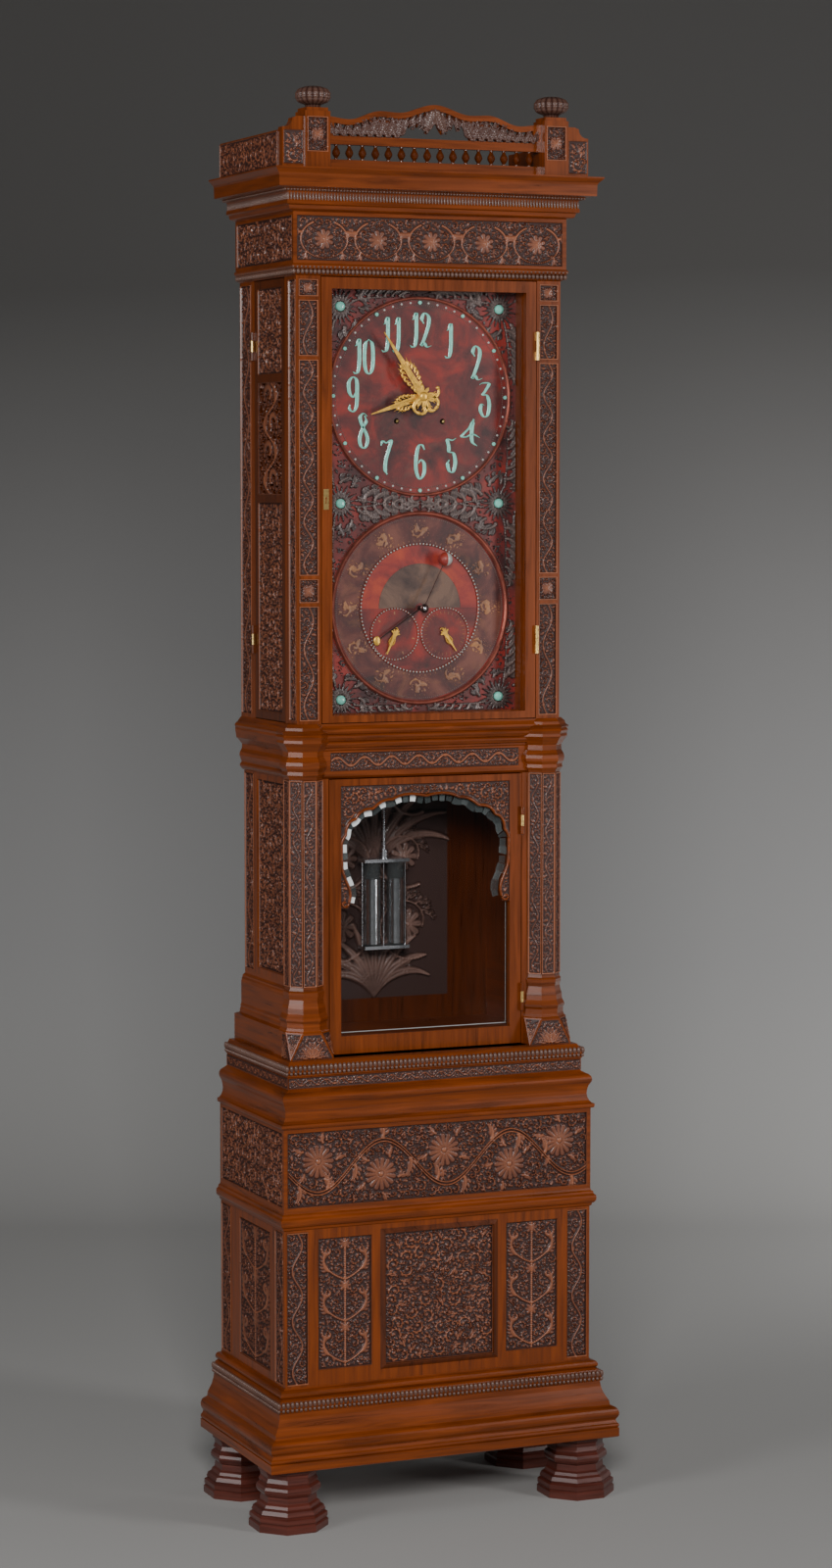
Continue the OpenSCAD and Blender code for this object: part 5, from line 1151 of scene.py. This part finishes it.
def crest_foliage(span, pitch):
    """Pierced leaves under the crest rail: fans rooted in the middle rail, and a cluster hanging in the middle."""
    rail = 57.0
    r = Relief(2 * span - 4, 62, pitch)
    mid = r.size[0] / 2

    def under(share):
        """Room between the two rails."""
        return float(crest_height(np.array([share]))[0]) - 10 - rail

    for side in (-1, 1):
        for k in range(8):
            share = 0.93 - 0.082 * k
            x, rise = mid + side * share * span, under(share)
            for d in (-1, 1):
                lean = math.atan2(rise, d * 0.55 * rise)
                r.leaf((x, 0), lean, math.hypot(rise, 0.55 * rise) * 0.98, d * 0.35, 4.2, 4, 1.15)
            r.curl((x + side * 8, rise * 0.5), math.pi / 2, 6.0, side, 4.2, 0.34)
        for k in range(5):
            share = 0.31 - 0.06 * k
            down = math.radians(270 + side * (40 - 9 * k))
            r.leaf((mid + side * share * span, under(share)), down, 24 + 2 * k, -side * 0.5, 4.2, 4, 1.2)
        r.leaf((mid + 4 * side, 52), math.radians(270 + side * 14), 44, side * 0.3, 5.2, 5, 1.5)
    r.daisy((mid, 44), 9, 8, 6)
    limit = crest_height(np.abs(r.u - mid) / span) - rail
    mask = (r.h > 0.8) & (r.v[:, None] < limit[None, :] - 5)
    return front_plate(r, -mid, GALLERY_LOW[2] + rail, CREST_FACE + 2.9, mask=mask, thick=0.6)


def circle(cx, cz, r, y, count, start=0.0, stop=TAU):
    """Points round a circle on a face of the dial, clockwise from the top."""
    a = np.linspace(start, stop, count, endpoint=False)
    return xyz(cx + r * np.sin(a), y, cz + r * np.cos(a))


def washer(cz, r0, r1, y, thick, start=0.0, stop=TAU):
    """A flat ring, or a sector of one, standing thick off the face y: a rectangle carried round from start to stop."""
    full, count = stop - start > 6.28, 120
    a = np.linspace(start, stop, count, endpoint=not full)[:, None]
    r = np.array([r0, r1, r1, r0])
    points = xyz(np.sin(a) * r, np.array([y - thick, y - thick, y, y]), cz + np.cos(a) * r)
    index = np.arange(count * 4).reshape(count, 4)
    right, ahead = np.roll(index, -1, axis=1), np.roll(index, -1, axis=0)
    quads = np.stack([index, ahead, np.roll(right, -1, axis=0), right], axis=-1)
    faces = [quads.reshape(-1, 4)] if full else [quads[:-1].reshape(-1, 4), [0, 1, 2, 3], index[-1, ::-1].tolist()]
    return points.reshape(-1, 3), faces, np.full(count * 4, 0.5)


class CLOCK_OT_dial(bpy.types.Operator):
    """Dress the dial: foliage, numerals, dotted rings, the sky, the earth and the calendar band."""
    bl_idname = "clock.dial"
    bl_label = "Dial"

    def execute(self, context):
        half = DIAL_HIGH[0] - 22
        z0, z1 = DIAL_LOW[2] + 17, DIAL_HIGH[2] - 18
        split = (MAIN_Z + CALENDAR_Z) / 2
        bosses = [(side * 154, z) for z in (MAIN_Z + 157.5, split - 1.5, CALENDAR_Z - 162) for side in (-1, 1)]
        circles = [(MAIN_Z, MAIN_R - 2), (CALENDAR_Z, CALENDAR_R - 2)]
        for name, low, high in (("upper", split, z1), ("lower", z0, split)):
            leaves = dial_foliage(2 * half, high - low, low, 1.5, 4.6, bosses, circles)
            plates = [front_plate(leaves, -half, low, DIAL_Y, mask=leaves.h > 0.4)]
            build(f"dial_foliage_{name}", plates, "foliage")
        self.zones()
        self.rings()
        self.numerals()
        return {"FINISHED"}

    def zones(self):
        """The calendar band, the red sky and the brown earth, with one ornament for each twelfth of the band."""
        half_turn = (-math.pi / 2, math.pi / 2)
        coat = 0.35
        build("calendar_band", [washer(CALENDAR_Z, 117, 164, DIAL_Y, coat)], "band lacquer")
        build("moon_sky", [washer(CALENDAR_Z, 80, 112.5, DIAL_Y, coat, *half_turn)], "sky lacquer")
        build("moon_earth", [washer(CALENDAR_Z, 9, 79.6, DIAL_Y, 0.5, *half_turn)], "earth lacquer")
        parts = []
        across, up, ring = 22, 16, 138
        for k in range(12):
            a = TAU * k / 12
            patch = Relief(2 * across, 2 * up, 1.0)
            patch.scroll((15, 16), 0.5 * k, 11.0, 1 if k % 2 else -1, 2.2, 1.6, 4)
            patch.leaf((21, 16), 0.7 * k, 20, 0.8, 1.6, 5, 1.5)
            patch.leaf((21, 16), 0.7 * k + 2.4, 17, -0.9, 1.4, 4, 1.5)
            patch.pack(1.2, 170 + k, 2.0, 5.0)
            oval = np.hypot((patch.u[None, :] - across) / across, (patch.v[:, None] - up) / up) < 0.95
            x, z = ring * math.sin(a) - across, CALENDAR_Z + ring * math.cos(a) - up
            parts.append(front_plate(patch, x, z, DIAL_Y - 0.3, mask=(patch.h > 0.25) & oval))
        build("calendar_cartouches", parts, "cartouche")

    def rings(self):
        """Dots round the dials, fine beaded lines beside their rims, and the graduations."""
        dots = [beads(circle(0, MAIN_Z, MAIN_R - 8, DIAL_Y, 60), 2.2, (1, 0.7, 1)),
                beads(circle(0, CALENDAR_Z, CALENDAR_R - 55, DIAL_Y - 2.6, 110), 1.7)]
        dots += [beads(circle(side * SMALL_X, SMALL_Z, 45.8, DIAL_Y - 2.1, 52), 1.3) for side in (-1, 1)]
        build("dial_dots", dots, "moon white", slot="turquoise")
        rims = ((MAIN_R - 3.5, MAIN_Z), (MAIN_R - 12.5, MAIN_Z),
                (CALENDAR_R - 8, CALENDAR_Z), (CALENDAR_R + 7, CALENDAR_Z))
        lines = [beads(circle(0, z, r, DIAL_Y - 0.2, 260), 1.1) for r, z in rims]
        build("dial_bead_rings", lines, "foliage")
        ticks = []

        def tick(centre, angle, inner, outer, width):
            ends = np.array([centre]) + np.outer(np.linspace(inner, outer, 3), [math.sin(angle), 0, math.cos(angle)])
            ticks.append(bar(ends, width, 0.8, sides=4))

        for inner, outer, count in ((155, 158, 12 * 9), (119.5, 122.5, 12 * 6)):
            for k in range(count):
                if k % (count // 12) in (0, 1, count // 12 - 1) or inner < 150:
                    tick([0, DIAL_Y - 0.6, CALENDAR_Z], TAU * k / count, inner, outer, 1.3)
        for side, count, width in ((-1, 7, 2.2), (1, 31, 1.0)):
            for k in range(count):
                tick([side * SMALL_X, DIAL_Y - 0.3, SMALL_Z], TAU * k / count, 35, 40, width)
        build("calendar_ticks", ticks, "cartouche")

    def numerals(self):
        """Tall numerals: strokes of a pen that presses on its upright runs, stood off the dial."""
        # Pen strokes of each digit: hundredths of its width and of its height
        pen = {
            "0": ["50,100 22,86 14,50 22,14 50,0 78,14 86,50 78,86 50,100"],
            "1": ["26,80 44,86 60,99 62,70 60,30 48,6 26,1 8,6"],
            "2": ["34,70 18,84 40,100 74,90 74,66 40,28 14,6 36,14 62,2 98,6"],
            "3": ["6,94 36,99 86,97 56,76 34,64 70,62 90,36 76,6 42,0 14,18 24,36 44,34"],
            "4": ["66,100 44,70 2,40 24,36 60,46 98,34", "66,98 56,60 58,20 84,4"],
            "5": ["90,100 60,94 20,96 30,76 34,60 70,56 86,30 68,2 36,4 20,24 34,36"],
            "6": ["84,86 66,99 36,96 16,66 14,26 44,0 80,16 82,44 56,56 34,46"],
            "7": ["4,84 20,97 50,92 90,99 70,72 46,42 40,16 56,0"],
            "8": ["80,92 50,100 22,88 40,64 72,42 84,20 60,0 28,6 18,28 44,58 72,76 60,94"],
            "9": ["72,56 50,42 20,56 16,84 48,100 80,90 84,56 78,16 50,0 20,8 24,20"],
        }
        # Middle of each hour's numeral from the middle of the dial: across and up
        seats = ((57, 100), (110, 61), (126, -4), (98, -64), (60, -104), (0, -116), (-66, -108), (-110, -61), (-130, 3),
                 (-110, 70), (-55, 109), (0, 118))
        count = 60
        ends = np.clip(np.minimum(np.arange(count), np.arange(count)[::-1]) / 6, 0.45, 1)
        parts = []
        for hour, (across, up) in enumerate(seats, 1):
            label = str(hour)
            tall, wide = (50.0, 36.0) if hour == 4 else (61.0, 23.0)
            for k, digit in enumerate(label):
                left = across + (k - len(label) / 2) * wide * 0.9
                low = MAIN_Z + up - tall / 2
                for line in pen[digit]:
                    points = [[int(share) / 100 for share in point.split(",")] for point in line.split()]
                    flat = smooth_path(points, count)
                    rise, run = np.gradient(flat[:, 1]) * tall, np.gradient(flat[:, 0]) * wide
                    upright = np.abs(rise) / np.maximum(np.hypot(rise, run), 1e-6)
                    path = xyz(left + flat[:, 0] * wide, DIAL_Y - 0.8, low + flat[:, 1] * tall)
                    parts.append(bar(path, (2.3 + 5.0 * upright ** 3) * ends, 2.0, sides=6))
        build("numerals", parts, "turquoise")


class CLOCK_OT_hands(bpy.types.Operator):
    """Lay gilt scrolls over the plain hands."""
    bl_idname = "clock.hands"
    bl_label = "Hands"

    def execute(self, context):
        y_minute = extent("minute_hand")[0][1] + 4 - 0.8
        y_hour = extent("hour_hand")[0][1] + 0.8
        y_small = extent("day_hand")[0][1] + 2.4
        for name, body, at, y, turn, shape in (
                ("minute", "centre_arbor", (0, MAIN_Z), y_minute, 326, (136, 24, 5)),
                ("hour", "hour_hand", (0, MAIN_Z), y_hour, 252, (104, 21, 0)),
                ("day", "day_hand", (-SMALL_X, SMALL_Z), y_small, 204, (39, 9, 1)),
                ("date", "date_hand", (SMALL_X, SMALL_Z), y_small, 146, (39, 9, 1))):
            build(f"{name}_hand_scrolls", scrolled_hand(at, y, math.radians(turn), *shape), "gilt", body)
        return {"FINISHED"}


def scrolled_hand(centre, y, angle, length, width, tails):
    """A hand: a thin tip, a leafy blade of paired curls, and a fan of scrolled tails round the boss."""
    turn = np.array([[math.cos(angle), -math.sin(angle)], [math.sin(angle), math.cos(angle)]])
    parts = []

    def lay(points, lift=0.0):
        flat = np.asarray(points, float) @ turn
        return xyz(centre[0] + flat[:, 0], y - lift, centre[1] + flat[:, 1])

    def lobe(points, lift, thick, depth, sides=6):
        parts.append(bar(lay(points, lift), thick, depth, sides=sides))

    t = steps(30)
    lobe(np.stack([np.zeros(30), length * (0.50 + 0.50 * t)], axis=1), 0.0, width * 0.22 * (1 - 0.86 * t) + 0.6,
         2.0 * (1 - 0.5 * t))
    blade = width * (0.12 + 0.12 * np.sin(math.pi * np.clip((t - 0.25) / 0.75, 0, 1)) ** 0.8)
    lobe(np.stack([np.zeros(30), length * 0.54 * t], axis=1), 0.0, blade, 2.6, 8)
    q = steps(14)
    r = width * 0.27 * (1 - 0.6 * q)
    for k, grow in enumerate((0.85, 0.6, 0.75, 0.95, 1.05, 0.95, 0.7)):
        at = length * (0.10 + 0.062 * k)
        out = width * (0.12 + 0.30 * math.sin(math.pi * (k + 0.6) / 7.2))
        for side in (-1, 1):
            a = side * (0.2 + 3.8 * q)
            curl = np.stack([side * out + r * grow * np.sin(a), at + r * grow * (1.2 - np.cos(a))], axis=1)
            lobe(curl, 0.5, width * 0.13 * (1.3 - 0.7 * q), 2.4)
            spike = np.stack([side * (out + width * 0.30 * grow * q), at + width * (0.30 * q + 0.25 * q ** 2)], axis=1)
            lobe(spike, 0.3, width * 0.12 * (1.1 - q), 2.0)
    q = steps(20)
    for k in range(tails):
        a0 = math.pi + (k - (tails - 1) / 2) * 0.62
        a = a0 + (2.4 * q ** 2 - 0.5) * (1 if k % 2 else -1)
        arm = np.cumsum(ways(a)[:, ::-1], axis=0) * width * 1.75 / 20
        lobe(arm, 0.4, width * 0.30 * np.sin(np.pi * (0.22 + 0.66 * q)) ** 0.7, 2.8)
        parts.append(beads(lay(arm[-1:], 0.6), width * 0.15, (1, 0.7, 1)))
        for side in (-1, 1):
            leaf = arm[7] + np.cumsum(ways(a0 + side * (1.3 - q))[:, ::-1], axis=0) * width / 34
            lobe(leaf, 0.4, width * 0.15 * (1.25 - q), 2.4)
    parts.append(beads(lay([[0, 0]], 0.6), width * 0.36, (1, 0.4, 1), 16, 8))
    return parts


class CLOCK_OT_lower_door(bpy.types.Operator):
    """Carve the lower door's arch, its moulded border and the bevelled edge of its glass."""
    bl_idname = "clock.lower_door"
    bl_label = "Lower door"

    def execute(self, context):
        half = FRET_HIGH[0]
        edge = arch_edge(half, FRET_HIGH[2] - FRET_LOW[2])
        self.carving(half, edge, sizes(context)[0])
        self.border(half, edge)
        self.bevels(half, edge)
        return {"FINISHED"}

    def carving(self, half, edge, pitch):
        """Leaves over the arch, down to its edge."""
        carving = Relief(2 * half, FRET_HIGH[2] - FRET_LOW[2], pitch)
        across, up = np.meshgrid(carving.cu - half, carving.cv)
        carving.gap = np.where(inside_outline(np.abs(across), up, edge - (0, 4)), -1.0, carving.gap)
        for side in (-1, 1):
            line = np.stack([half + side * (edge[:, 0] + 1.5), edge[:, 1] + 3], axis=1)
            carving.stroke(line, 1.2, 1.4)
        carving.filled(3.4, 161, 2.6, 12.0, 1.6, 2.6)
        across, up = np.meshgrid(carving.u - half, carving.v)
        mask = ~inside_outline(np.abs(across), up, edge)
        carved = front_plate(carving, -half, FRET_LOW[2], FRET_LOW[1], mask=mask, thick=0.8)
        build("arch_carving", [carved], "carved wood", "lower_door")

    def border(self, half, edge):
        """A round moulding along the arch's edge, and a spiral where it meets the upright."""
        y, z = FRET_LOW[1] - 1.6, FRET_LOW[2]
        t = steps(20)
        parts = []
        for side in (-1, 1):
            parts.append(bar(xyz(side * edge[:, 0], y, z + edge[:, 1]), 5.4, 5.0))
            spiral = xyz(side * (half - 7.5) - side * 7.5 * (1 - 0.7 * t) * np.cos(5.5 * t), y,
                         z + 8 - 7.0 * (1 - 0.7 * t) * np.sin(5.5 * t))
            parts.append(bar(spiral, 4.6 * (1 - 0.3 * t), 4.6))
        build("arch_border", parts, "level wood", "lower_door")

    def bevels(self, half, edge):
        """Facets of the glass, each a stretch of a strip 8 mm inside the arch's edge, and its straight edges, all
        carrying painted glints: bright on alternate facets of the left side, faint elsewhere.
        """
        glass, z = FRET_HIGH[1] + 0.6, FRET_LOW[2]
        run, offset = 16, 8.0
        along = np.gradient(edge, axis=0)
        arc = np.cumsum(np.linalg.norm(along, axis=1))
        inward = np.stack([along[:, 1], -along[:, 0]], axis=1) / np.linalg.norm(along, axis=1, keepdims=True)
        facets = []
        for side in (-1, 1):
            for k in range(25):
                part = (arc >= run * k) & (arc <= run * k + run + 1)
                flat = edge[part] + inward[part] * offset
                if len(flat) > 2:
                    # Painted glint: brightest on alternate facets of the left side, where the lamps' reflection falls.
                    bright = 0.85 if k % 2 and side < 0 else 0.22 + 0.1 * (k % 3)
                    line = xyz(side * flat[:, 0], glass, z + flat[:, 1])
                    facets.append(bar(line, 15.0 - 3.0 * (k % 2), 0.8, sides=4, height=bright))
            upright = xyz(side * (half - 3.5), glass, np.linspace(z - 226, z, 4))
            facets.append(bar(upright, 1.4, 0.8, sides=4, height=0.5))
        foot = xyz(np.linspace(-half + 3, half - 3, 4), glass, z - 225)
        facets.append(bar(foot, 1.6, 0.8, sides=4, height=0.6))
        build("glass_bevels", facets, "bevel", "lower_door")


def arch_edge(half, height):
    """Right half of the arch's edge, from the crown to the drop's foot: a Catmull-Rom curve through shares of the half
    width and depths below the top, bulged outwards by 4.5 * |sin(5 pi t / 0.58)| along the arch."""
    shares = [(-0.35, 25), (0, 22), (0.35, 25), (0.56, 38), (0.76, 52), (0.885, 70), (0.965, 100), (0.985, 143),
              (0.95, 165), (0.905, 182), (0.89, 196), (0.905, 209)]
    arch = 0.58
    p = np.array([(s * half, height - d) for s, d in shares])
    p = np.concatenate([p, 2 * p[-1:] - p[-2:-1]])
    line, t = spans(p, 160)
    along = np.gradient(line, axis=0)
    along /= np.linalg.norm(along, axis=1, keepdims=True)
    share = t / (len(p) - 3)
    bulge = np.where(share < arch, 4.5 * np.abs(np.sin(5 * math.pi * share / arch)), 0.0)
    line = line + np.stack([-along[:, 1], along[:, 0]], axis=1) * bulge[:, None]
    line[:, 0] = np.minimum(line[:, 0], half - 1.5)
    return line


def inside_outline(u, v, edge):
    """True where a point lies inside the opening: nearer the middle than the edge is at its level."""
    order = np.argsort(edge[:, 1])
    return u < np.interp(v, edge[order, 1], edge[order, 0], right=0.0)


class CLOCK_OT_back_panel(bpy.types.Operator):
    """Carve the panel behind the pendulum."""
    bl_idname = "clock.back_panel"
    bl_label = "Back panel"

    def execute(self, context):
        half, z0, z1 = 150, SKIRT_Z + 62, MIDDLE_Z + 20
        carving = back_panel(2 * half, z1 - z0, 1.8, 11)
        build("back_panel_carving", [front_plate(carving, -half, z0, BACK_FACE)], "back carving")
        return {"FINISHED"}


class CLOCK_OT_moon(bpy.types.Operator):
    """Give the moon ball its two halves, the sun its drop and the hub its cap."""
    bl_idname = "clock.moon"
    bl_label = "Moon and sun"

    def execute(self, context):
        angle, radius, rings, sides = math.radians(26), 12.5, 14, 32
        x, z = MOON_REACH * math.sin(angle), CALENDAR_Z + MOON_REACH * math.cos(angle)
        centre = np.array([x, DIAL_Y - 19.1, z])
        a = np.linspace(0, TAU, sides, endpoint=False)
        caps = [list(range(sides)), list(range(rings * sides - 1, (rings - 1) * sides - 1, -1))]
        for name, finish, slot, first, last in (("pale", "moon white", "steel", 0, 0.5),
                                                ("red", "sky lacquer", "oxblood_lacquer", 0.5, 1)):
            t = np.linspace(first, last, rings)[:, None] * math.pi
            points = xyz(np.cos(t), np.sin(t) * np.cos(a), np.sin(t) * np.sin(a)).reshape(-1, 3) * radius + centre
            parts = [(points, [grid_faces(rings, sides, closed=True), *caps], np.full(len(points), 0.8))]
            build(f"moon_{name}", parts, finish, "moon_arm", slot)
        angle = math.radians(236)
        seat = circle(0, CALENDAR_Z, SUN_REACH, extent("sun_arm")[0][1], 1, angle)
        build("sun_drop", [beads(seat, 7.4, (0.9, 0.22, 1.15), 20, 12)], "gilt", "sun_arm")
        cap = [[0, extent("moon_arm")[0][1] + 9.0, CALENDAR_Z]]
        build("dial_cap", [beads(cap, 5.2, (1, 0.8, 1), 24, 14)], "bright steel", "moon_arm")
        return {"FINISHED"}


def aimed(at, yaw, pitch):
    """Place and turn of a camera or lamp: yaw clockwise from the back, pitch downwards."""
    return (Matrix.Translation(at) @ Matrix.Rotation(-yaw, 4, "Z")
            @ Matrix.Rotation(math.pi / 2 - pitch, 4, "X"))


class CLOCK_OT_stage(bpy.types.Operator):
    """Set the floor, the backdrop, the lights and the camera."""
    bl_idname = "clock.stage"
    bl_label = "Stage"

    def execute(self, context):
        self.floor(context)
        world = bpy.data.worlds.new("studio")
        context.scene.world = world
        world.use_nodes = True
        world.node_tree.nodes["Background"].inputs["Color"].default_value = (0.85, 0.88, 0.92, 1)
        world.node_tree.nodes["Background"].inputs["Strength"].default_value = 0.10
        self.lamp(context, "key", (-2.4, -5.6, 3.3), (0, 0, 1.3), (1.5, 1.5), 300)
        self.lamp(context, "left_strip", (-4.0, -1.4, 2.0), (0, 0, 1.3), (1.3, 2.6), 60)
        self.lamp(context, "right_strip", (3.2, -3.6, 1.9), (0, 0, 1.3), (0.7, 2.6), 90)
        self.lamp(context, "wall_light", (3.2, 0.6, 0.9), (2.2, 4.2, 0.6), (1.2, 1.2), 40)
        data = bpy.data.cameras.new("camera")
        data.sensor_width = 36
        data.lens = 84.0
        camera = bpy.data.objects.new("camera", data)
        context.collection.objects.link(camera)
        yaw, pitch = math.radians(23.117), math.radians(4.648)
        camera.matrix_world = aimed((-2.588, -6.096, 1.847), yaw, pitch)
        context.scene.camera = camera
        return {"FINISHED"}

    def floor(self, context):
        """A pale floor that curves up into a backdrop, turned to face the camera, its colour darkening upwards as
        painted shade.
        """
        f = Finish("stage grey", Roughness=0.8)
        height = f.node("ShaderNodeSeparateXYZ", {}, {0: f.place}, output="Z")
        cloud = f.noise(0.5, 0.6, 2.0)
        # Painted shade: the backdrop darkens towards its top, where less light falls.
        f.drive("Base Color", f.ramp(height * 0.25 + (cloud - 0.5) * 0.10, (0.0, (0.36, 0.352, 0.34)),
                                     (0.14, (0.27, 0.266, 0.262)), (0.62, (0.060, 0.057, 0.054))))
        t = steps(40) * math.pi / 2
        depth = np.concatenate([[-9.0, -1.0], 2.4 + 1.6 * np.sin(t), [4.0]])[:, None]
        height = np.concatenate([[0.0, 0.0], 1.6 * (1 - np.cos(t)), [9.0]])[:, None]
        side = np.array([-9.0, 12.0])
        turn = math.radians(23)
        x, y = side * math.cos(turn) + depth * math.sin(turn), depth * math.cos(turn) - side * math.sin(turn)
        mesh = bpy.data.meshes.new("studio_floor")
        mesh.from_pydata(xyz(x, y, height).reshape(-1, 3).tolist(), [], grid_faces(len(depth), 2).tolist())
        mesh.shade_smooth()
        floor = bpy.data.objects.new("studio_floor", mesh)
        context.collection.objects.link(floor)
        floor.data.materials.append(f.material)

    def lamp(self, context, name, at, to, size, power):
        """A soft rectangular light of the given width and height, aimed from one point at another."""
        data = bpy.data.lights.new(name, "AREA")
        data.shape = "RECTANGLE"
        data.size, data.size_y = size
        data.energy = power
        lamp = bpy.data.objects.new(name, data)
        context.collection.objects.link(lamp)
        look = np.array(to) - np.array(at)
        lamp.matrix_world = aimed(at, math.atan2(look[0], look[1]), math.atan2(-look[2], math.hypot(look[0], look[1])))


class CLOCK_PT_panel(bpy.types.Panel):
    """Lists the clock's pieces in the sidebar."""
    bl_label = "Clock"
    bl_idname = "CLOCK_PT_panel"
    bl_space_type = "VIEW_3D"
    bl_region_type = "UI"
    bl_category = "Clock"

    def draw(self, context):
        for group in (context.scene.clock_finishes, context.scene.clock_sizes):
            for name in group.__annotations__:
                self.layout.prop(group, name)
        for operator in OPERATORS:
            self.layout.operator(operator.bl_idname)


OPERATORS = (CLOCK_OT_finishes, CLOCK_OT_plinth, CLOCK_OT_friezes, CLOCK_OT_trunk, CLOCK_OT_side_doors, CLOCK_OT_beads,
             CLOCK_OT_gallery, CLOCK_OT_dial, CLOCK_OT_hands, CLOCK_OT_lower_door, CLOCK_OT_back_panel, CLOCK_OT_moon,
             CLOCK_OT_stage)
CLASSES = (ClockFinishes, ClockSizes, *OPERATORS, CLOCK_PT_panel)


def register():
    for item in CLASSES:
        bpy.utils.register_class(item)
    bpy.types.Scene.clock_finishes = bpy.props.PointerProperty(type=ClockFinishes)
    bpy.types.Scene.clock_sizes = bpy.props.PointerProperty(type=ClockSizes)


def unregister():
    del bpy.types.Scene.clock_sizes
    del bpy.types.Scene.clock_finishes
    for item in reversed(CLASSES):
        bpy.utils.unregister_class(item)


def main():
    register()
    for operator in OPERATORS:
        group, name = operator.bl_idname.split(".")
        getattr(getattr(bpy.ops, group), name)()


if __name__ == "__main__":
    main()
